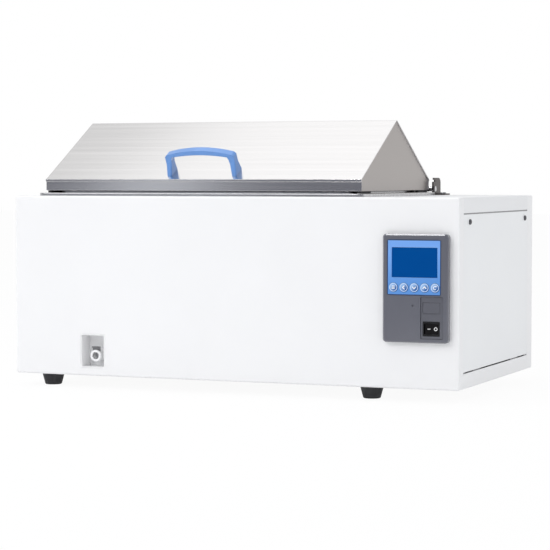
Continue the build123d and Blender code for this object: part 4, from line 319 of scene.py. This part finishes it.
white = paint("white_coat", (0.905, 0.905, 0.912))
right_cover = paint("right_cover_coat", (0.895, 0.905, 0.915),
                    shaded_hooks=(hook_shade_start, hook_shade_start - HOOK_SHADE_EDGE))
left_cover = paint("left_cover_coat", (0.895, 0.905, 0.915),
                   shaded_hooks=(1 - hook_shade_start, 1 - hook_shade_start + HOOK_SHADE_EDGE))
deck = paint("deck_coat", (0.87, 0.875, 0.885), 0.42)
lid_sheet = brushed("lid_sheet", (0.80, 0.79, 0.79), ALONG_X, 0.18, 0.22, 0.05, edge=0.0012)
gable_sheet = brushed("gable_sheet", (0.485, 0.455, 0.440), ALONG_Y, 0.36, 0.25, 0.05)
tank_sheet = brushed("tank_sheet", (0.66, 0.66, 0.67), ALONG_X, 0.28, 0.12, 0.06,
                     painted_shade_from=upstand_start)
saddle_sheet = brushed("saddle_sheet", (0.66, 0.66, 0.67), ALONG_X, 0.28, 0.2, 0.06)
tray_sheet = brushed("tray_sheet", (0.64, 0.64, 0.65), ALONG_X, 0.30, 0.3, 0.06)
zinc = brushed("zinc_plate", (0.56, 0.58, 0.60), EVEN_COARSE, 0.36, 0.1, 0.10)
bracket = brushed("bracket_plate", (0.125, 0.112, 0.108), ALONG_Z, 0.38, 0.2, 0.10, edge=0.0004)
drawn = brushed("drawn_steel", (0.70, 0.70, 0.71), ALONG_X, 0.24, 0.15, 0.05)
screw_steel = brushed("screw_steel", (0.13, 0.13, 0.14), EVEN_FINE, 0.36, 0.15, 0.12)
seam_steel = brushed("seam_steel", (0.36, 0.36, 0.37), EVEN_FINE, 0.40, 0.15, 0.12)
latch_steel = brushed("latch_steel", (0.30, 0.30, 0.31), ALONG_Z, 0.35, 0.2, 0.08)
brass = brushed("plated_brass", (0.74, 0.60, 0.33), ALONG_X, 0.28, 0.15, 0.08)
aluminium = brushed("extruded_aluminium", (0.72, 0.73, 0.75), ALONG_Y, 0.38, 0.3, 0.06)
foot_rubber = rubber("foot_rubber", (0.045, 0.045, 0.048))
bumper_rubber = rubber("bumper_rubber", (0.03, 0.03, 0.032))
hose_rubber = moulded("hose_silicone", (0.70, 0.72, 0.72), 0.42, 500, 0.1)
lead_rubber = rubber("lead_jacket", (0.36, 0.07, 0.045), 0.6)
jacket_foam = foam("jacket_foam", (0.80, 0.78, 0.68))
green_board = board("board_green", (0.03, 0.17, 0.08))
bezel_plastic = moulded("bezel_plastic", (0.120, 0.124, 0.152), 0.36, 1100, 0.15, coat=1.0)
insert_plastic = moulded("insert_plastic", (0.105, 0.108, 0.132), 0.36, 1100, 0.15, coat=1.0,
                         edge=0.0008)
black_gloss = moulded("black_gloss", (0.006, 0.005, 0.006), 0.30, 700, 0.06, shine=0.2)
switch_black = moulded("switch_black", (0.012, 0.012, 0.014), 0.40, 900, 0.2, shine=0.3)
black_matt = moulded("black_matt", (0.028, 0.028, 0.031), 0.55, 900, 0.3)
film = gloss_gradient("blue_film", (0.170, 0.390, 0.87), (0.100, 0.300, 0.73), 0.34, 0.25,
               (0.1, 0, -1), (0.030, 0.055, 0.150))
glass_blue = moulded("display_blue", (0.0002, 0.066, 0.285), 0.12, 1500, 0.01, spread=0.02,
                     shine=0.06)
# The keys' light top left is a painted highlight and their dark bottom right is painted shade
key_blue_painted_highlight = gloss_gradient("key_blue_painted_highlight", (0.34, 0.55, 0.88), (0.020, 0.11, 0.38), 0.26, 0.8,
                   (0.75, 0, -0.65))
pale_print = moulded("pale_print", (0.55, 0.70, 0.93), 0.4, 1500, 0.05, spread=0.01, edge=0)
white_print = moulded("white_print", (0.92, 0.92, 0.92), 0.5, 1500, 0.05, spread=0.01, edge=0)
white_plastic = moulded("white_moulding", (0.93, 0.93, 0.94), 0.34, 900, 0.12, shine=0.4)
# The drain cup's white is lighter than the other white mouldings as painted light, to lift the
# shade in its recess
cup_painted_light = moulded("cup_moulding", (0.97, 0.97, 0.975), 0.45, 900, 0.10, spread=0.01,
                      shine=0.4)
handle_plastic = moulded("handle_plastic", (0.120, 0.300, 0.700), 0.30, 1300, 0.12, coat=0.6,
                         edge=0.0008)
beige_plastic = moulded("beige_moulding", (0.60, 0.55, 0.44), 0.5)
valve_plastic = moulded("valve_plastic", (0.62, 0.63, 0.65), 0.45)

LOOKS = {
    white: ["base_pan", "front_panel", "rear_panel"],
    deck: ["top_deck"],
    left_cover: ["left_side_cover"],
    right_cover: ["right_side_cover"],
    lid_sheet: ["lid_roof"],
    gable_sheet: ["lid_gables", "lid_hinge_arms"],
    tank_sheet: ["tank"],
    saddle_sheet: ["heater_saddles"],
    tray_sheet: ["perforated_tray"],
    screw_steel: ["case_screws"],
    seam_steel: ["cover_rails", "seam_frames"],
    zinc: ["tank_rails", "foot_bolts", "divider_panel", "small_screws", "lid_screws"],
    bracket: ["hinge_brackets"],
    drawn: ["heaters", "temperature_probe", "hinge_pins", "hose_clamps"],
    latch_steel: ["drain_latch"],
    brass: ["wall_glands", "inlet_pins"],
    aluminium: ["heat_sink"],
    foot_rubber: ["rubber_feet"],
    bumper_rubber: ["lid_bumpers"],
    hose_rubber: ["drain_hose"],
    lead_rubber: ["heater_leads"],
    jacket_foam: ["tank_jacket"],
    green_board: ["control_board", "display_board"],
    bezel_plastic: ["control_bezel"],
    insert_plastic: ["switch_insert", "blank_plate"],
    black_gloss: ["switch_rocker", "power_inlet"],
    switch_black: ["switch_body"],
    black_matt: ["key_contacts", "display_module", "board_parts", "power_relay", "overheat_cutout"],
    film: ["keypad_overlay"],
    glass_blue: ["display_window"],
    key_blue_painted_highlight: ["menu_key", "left_key", "down_key", "up_key", "return_key"],
    white_plastic: ["drain_coupling", "coupling_nut"],
    cup_painted_light: ["drain_cup"],
    handle_plastic: ["lid_handle"],
    beige_plastic: ["terminal_block"],
    valve_plastic: ["drain_poppet"],
}
for material, names in LOOKS.items():
    for name in names:
        for holder in nodes[name].material_slots:
            holder.material = material


# Pieces


def new_piece(name, verts, faces, material, body):
    """A mesh that moves with a body."""
    mesh = bpy.data.meshes.new(name)
    mesh.from_pydata([tuple(v) for v in verts], [], faces)
    mesh.validate()
    made = bpy.data.objects.new(name, mesh)
    bpy.context.scene.collection.objects.link(made)
    mesh.materials.append(material)
    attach(made, body)
    return made


def smooth(obj, angle=40):
    """Shades smooth, but keeps edges that are sharper than an angle."""
    work = bmesh.new()
    work.from_mesh(obj.data)
    bmesh.ops.recalc_face_normals(work, faces=work.faces)
    for face in work.faces:
        face.smooth = True
    for edge in work.edges:
        if len(edge.link_faces) == 2:
            edge.smooth = edge.calc_face_angle(0) < math.radians(angle)
    work.to_mesh(obj.data)
    work.free()


SUNK = 0.03


def plate(loops, origin, right, up, thick):
    """Thin raised marks: outlines in a plane, each a closed list of points in mm."""
    out = right.cross(up)
    verts, faces = [], []
    for loop in loops:
        first = len(verts)
        count = len(loop)
        for lift in (-SUNK, thick):
            for x, y in loop:
                verts.append(origin + right * x * MM + up * y * MM + out * lift * MM)
        faces.append([first + count + i for i in range(count)])
        faces.append([first + i for i in reversed(range(count))])
        for i in range(count):
            j = (i + 1) % count
            faces.append([first + i, first + j, first + count + j, first + count + i])
    return verts, faces


def stroke(points, width):
    """The outline of a bar of even width along a run of points, mitred at its bends."""
    rights, lefts = [], []
    last = len(points) - 1
    for i, (x, y) in enumerate(points):
        normals = []
        for j in (max(i - 1, 0), min(i, last - 1)):
            (ax, ay), (bx, by) = points[j], points[j + 1]
            length = math.hypot(bx - ax, by - ay)
            normals.append(((ay - by) / length, (bx - ax) / length))
        (nx, ny), (mx, my) = normals
        reach = width / 2 / (1 + nx * mx + ny * my)
        dx, dy = (nx + mx) * reach, (ny + my) * reach
        rights.append((x - dx, y - dy))
        lefts.append((x + dx, y + dy))
    return [rights + lefts[::-1]]


def ring_loops(radius, width, count=40, start=0.0, sweep=360.0):
    """An open or closed ring cut into quads."""
    loops = []
    for i in range(count):
        a = math.radians(start + sweep * i / count)
        b = math.radians(start + sweep * (i + 1) / count)
        lo, hi = radius - width / 2, radius + width / 2
        loops.append([(lo * math.cos(a), lo * math.sin(a)), (hi * math.cos(a), hi * math.sin(a)),
                      (hi * math.cos(b), hi * math.sin(b)), (lo * math.cos(b), lo * math.sin(b))])
    return loops


def dome_ring(origin, radius, tube_w, tube_h, count=56, steps=7):
    """A low rounded ring that stands out of a front face."""
    verts, faces = [], []
    for i in range(count):
        a = math.tau * i / count
        for j in range(steps):
            t = math.pi * j / (steps - 1)
            r = radius + tube_w / 2 * math.cos(t)
            lift = tube_h * math.sin(t) - 0.02
            verts.append(origin + Vector((r * math.cos(a), -lift, r * math.sin(a))) * MM)
    for i in range(count):
        here = i * steps
        there = ((i + 1) % count) * steps
        for j in range(steps - 1):
            faces.append([here + j, there + j, there + j + 1, here + j + 1])
        faces.append([here, here + steps - 1, there + steps - 1, there])
    return verts, faces


RIGHT = Vector((1, 0, 0))
UP = Vector((0, 0, 1))

# Raised ring and mark on each key, in mm
RING_R = 5.6
RING_W = 1.1
RING_H = 0.16
KEY_MARK_T = 0.06

ICONS = {
    "menu_key": [loop for y in (1.9, 0.0, -1.9) for loop in stroke([(-2.3, y), (2.3, y)], 0.9)],
    "left_key": stroke([(1.3, 2.7), (-1.6, 0.0), (1.3, -2.7)], 1.2),
    "down_key": stroke([(-2.7, 1.3), (0.0, -1.6), (2.7, 1.3)], 1.2),
    "up_key": stroke([(-2.7, -1.3), (0.0, 1.6), (2.7, -1.3)], 1.2),
    "return_key": ring_loops(2.3, 0.9, 24, 70, 240) + [[(0.95, 3.6), (0.95, 0.9), (3.0, 2.25)]],
}

for key, loops in ICONS.items():
    lo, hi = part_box(key)
    centre = Vector(((lo[0] + hi[0]) / 2, lo[1], (lo[2] + hi[2]) / 2))
    verts, faces = plate(loops, centre, RIGHT, UP, KEY_MARK_T)
    new_piece(key + "_icon", verts, faces, white_print, key + "_body")
    verts, faces = dome_ring(centre, RING_R, RING_W, RING_H)
    ring = new_piece(key + "_ring", verts, faces, pale_print, key + "_body")
    smooth(ring, 60)

# Marks on the two faces of the rocker, which rests with its right half pressed

ROCKER_TILT = math.radians(9)
ROCKER_DIP = 6.0
ROCKER_MARK_T = 0.05
joint = next(j for j in frame["joints"] if j["name"] == "rocker_tilt")
pivot = Vector(joint["pos_m"])


def rocker_mark(name, loops, along):
    """A mark on one of the rocker's two planes, at a distance from its middle."""
    side = 1 if along > 0 else -1
    tilt = ROCKER_TILT - side * ROCKER_TILT
    middle = Vector((0, -ROCKER_DIP, 0))
    middle.rotate(Matrix.Rotation(ROCKER_TILT, 3, "Z"))
    right = Vector((math.cos(tilt), math.sin(tilt), 0))
    origin = pivot + middle * MM + right * along * MM
    verts, faces = plate(loops, origin, right, UP, ROCKER_MARK_T)
    new_piece(name, verts, faces, white_print, "rocker")


rocker_mark("rocker_off_mark", ring_loops(2.2, 0.95, 32), 5.9)
rocker_mark("rocker_on_mark", stroke([(-2.0, 0), (2.0, 0)], 1.05), -4.1)


# Floor, camera and light

AMBIENT = 0.77
DARK_END = (0.160, 0.165, 0.195)   # what mirrors see in front
FLOOR_END = (0.90, 0.90, 0.90)     # what they see of the floor behind
SKY_END = (0.75, 0.75, 0.75)       # what they see of the studio behind
FLOOR_WHITE = (0.92, 0.92, 0.92, 1)
FLOOR_GLOW = 0.94                  # share of plain white that the camera sees in the floor
FLOOR_HALF = 14
FLOOR_DROP = 0.0002

LENS_MM = 132.5
CAMERA_FROM_CORNER = (0.86954, -2.79552, 0.3115)
CAMERA_PITCH = math.radians(2.81)
CAMERA_AHEAD = (-0.3827, 0.9239)


def stage_floor():
    """A white floor. Mirrors see it fade towards the front, where the studio is darker."""
    mesh = bpy.data.meshes.new("floor")
    far = FLOOR_HALF
    mesh.from_pydata([(-far, -far, 0), (far, -far, 0), (far, far, 0), (-far, far, 0)], [],
                     [[0, 1, 2, 3]])
    floor = bpy.data.objects.new("floor", mesh)
    bpy.context.scene.collection.objects.link(floor)
    floor.location.z = cad_box[0][2] - FLOOR_DROP
    material = bpy.data.materials.new("floor_white")
    material.use_nodes = True
    tree = material.node_tree
    tree.nodes.clear()
    out = tree.nodes.new("ShaderNodeOutputMaterial")
    plain = tree.nodes.new("ShaderNodeBsdfDiffuse")
    plain.inputs["Color"].default_value = FLOOR_WHITE
    seen = tree.nodes.new("ShaderNodeEmission")
    fade(tree, "Object", -2.4, -0.5, DARK_END, FLOOR_END, seen)
    white_glow = tree.nodes.new("ShaderNodeEmission")
    mirrored = tree.nodes.new("ShaderNodeMixShader")
    tree.links.new(mirror_rays(tree), mirrored.inputs[0])
    tree.links.new(plain.outputs[0], mirrored.inputs[1])
    tree.links.new(seen.outputs[0], mirrored.inputs[2])
    share = tree.nodes.new("ShaderNodeMath")
    share.operation = "MULTIPLY"
    share.inputs[1].default_value = FLOOR_GLOW
    path = tree.nodes.new("ShaderNodeLightPath")
    tree.links.new(path.outputs["Is Camera Ray"], share.inputs[0])
    shown = tree.nodes.new("ShaderNodeMixShader")
    tree.links.new(share.outputs[0], shown.inputs[0])
    tree.links.new(mirrored.outputs[0], shown.inputs[1])
    tree.links.new(white_glow.outputs[0], shown.inputs[2])
    tree.links.new(shown.outputs[0], out.inputs["Surface"])
    mesh.materials.append(material)


def mirror_rays(tree):
    """1 for rays that a mirror or glass sends on, and 0 for the others."""
    path = tree.nodes.new("ShaderNodeLightPath")
    either = tree.nodes.new("ShaderNodeMath")
    either.operation = "MAXIMUM"
    tree.links.new(path.outputs["Is Glossy Ray"], either.inputs[0])
    tree.links.new(path.outputs["Is Transmission Ray"], either.inputs[1])
    return either.outputs[0]


def fade(tree, coordinates, front, back, dark, light, shader):
    """Gives a shader a colour that rises from a dark to a light one along Y."""
    coords = tree.nodes.new("ShaderNodeTexCoord")
    parts = tree.nodes.new("ShaderNodeSeparateXYZ")
    tree.links.new(coords.outputs[coordinates], parts.inputs[0])
    depth = tree.nodes.new("ShaderNodeMapRange")
    depth.interpolation_type = "SMOOTHSTEP"
    depth.inputs["From Min"].default_value = front
    depth.inputs["From Max"].default_value = back
    tree.links.new(parts.outputs["Y"], depth.inputs["Value"])
    mix = tree.nodes.new("ShaderNodeMix")
    mix.data_type = "RGBA"
    mix.inputs[6].default_value = (*dark, 1)
    mix.inputs[7].default_value = (*light, 1)
    tree.links.new(depth.outputs["Result"], mix.inputs[0])
    tree.links.new(mix.outputs[2], shader.inputs["Color"])


def world_light():
    """White to the camera and soft light all round. Mirrors see it darker in front."""
    world = bpy.data.worlds.new("studio")
    bpy.context.scene.world = world
    world.use_nodes = True
    tree = world.node_tree
    tree.nodes.clear()
    out = tree.nodes.new("ShaderNodeOutputWorld")
    lit = tree.nodes.new("ShaderNodeBackground")
    lit.inputs["Color"].default_value = (0.97, 0.98, 1.0, 1)
    lit.inputs["Strength"].default_value = AMBIENT
    seen = tree.nodes.new("ShaderNodeBackground")
    fade(tree, "Generated", -0.75, 0.35, DARK_END, SKY_END, seen)
    plain_white = tree.nodes.new("ShaderNodeBackground")
    plain_white.inputs["Color"].default_value = (1, 1, 1, 1)
    mirrored = tree.nodes.new("ShaderNodeMixShader")
    tree.links.new(mirror_rays(tree), mirrored.inputs[0])
    tree.links.new(lit.outputs[0], mirrored.inputs[1])
    tree.links.new(seen.outputs[0], mirrored.inputs[2])
    path = tree.nodes.new("ShaderNodeLightPath")
    shown = tree.nodes.new("ShaderNodeMixShader")
    tree.links.new(path.outputs["Is Camera Ray"], shown.inputs[0])
    tree.links.new(mirrored.outputs[0], shown.inputs[1])
    tree.links.new(plain_white.outputs[0], shown.inputs[2])
    tree.links.new(shown.outputs[0], out.inputs["Surface"])


def lamp(name, place, target, size, watts, color=(1, 1, 1)):
    """A soft rectangular lamp that the camera doesn't see."""
    data = bpy.data.lights.new(name, "AREA")
    data.shape = "RECTANGLE"
    data.size, data.size_y = size
    data.energy = watts
    data.color = color
    made = bpy.data.objects.new(name, data)
    bpy.context.scene.collection.objects.link(made)
    made.location = place
    made.rotation_mode = "QUATERNION"
    made.rotation_quaternion = (Vector(target) - Vector(place)).to_track_quat("-Z", "Y")
    made.visible_camera = False


def add_camera():
    """The photograph's camera, placed from the case's front right lower corner."""
    lo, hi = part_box("front_panel")
    corner = Vector((hi[0], lo[1], lo[2]))
    data = bpy.data.cameras.new("camera")
    data.sensor_width = 36.0
    data.lens = LENS_MM
    data.clip_start = 0.1
    data.clip_end = 60
    camera = bpy.data.objects.new("camera", data)
    bpy.context.scene.collection.objects.link(camera)
    camera.location = corner + Vector(CAMERA_FROM_CORNER)
    level = math.cos(CAMERA_PITCH)
    ahead = Vector((CAMERA_AHEAD[0] * level, CAMERA_AHEAD[1] * level, -math.sin(CAMERA_PITCH)))
    camera.rotation_mode = "QUATERNION"
    camera.rotation_quaternion = ahead.to_track_quat("-Z", "Y")
    bpy.context.scene.camera = camera


stage_floor()
world_light()
add_camera()
lamp("key", (-1.6, -2.6, 2.3), (0, 0, 0.15), (2.2, 1.6), 35)
lamp("top", (-0.67, 0.5, 2.6), (-0.15, 0, 0.2), (2.94, 1.8), 7.5)
lamp("crown", (-0.42, -0.34, 2.40), (0.27, -0.2, 0.2), (0.62, 0.24), 5.0)
lamp("side", (2.8, -0.6, 1.2), (0.2, 0, 0.2), (1.6, 1.6), 5, (0.95, 0.98, 1.0))
lamp("strip", (-1.75, -3.5, 0.30), (-0.06, -0.16, 0.31), (0.32, 0.7), 0.5, (0.92, 0.96, 1.0))
bpy.context.scene.view_settings.view_transform = "Standard"
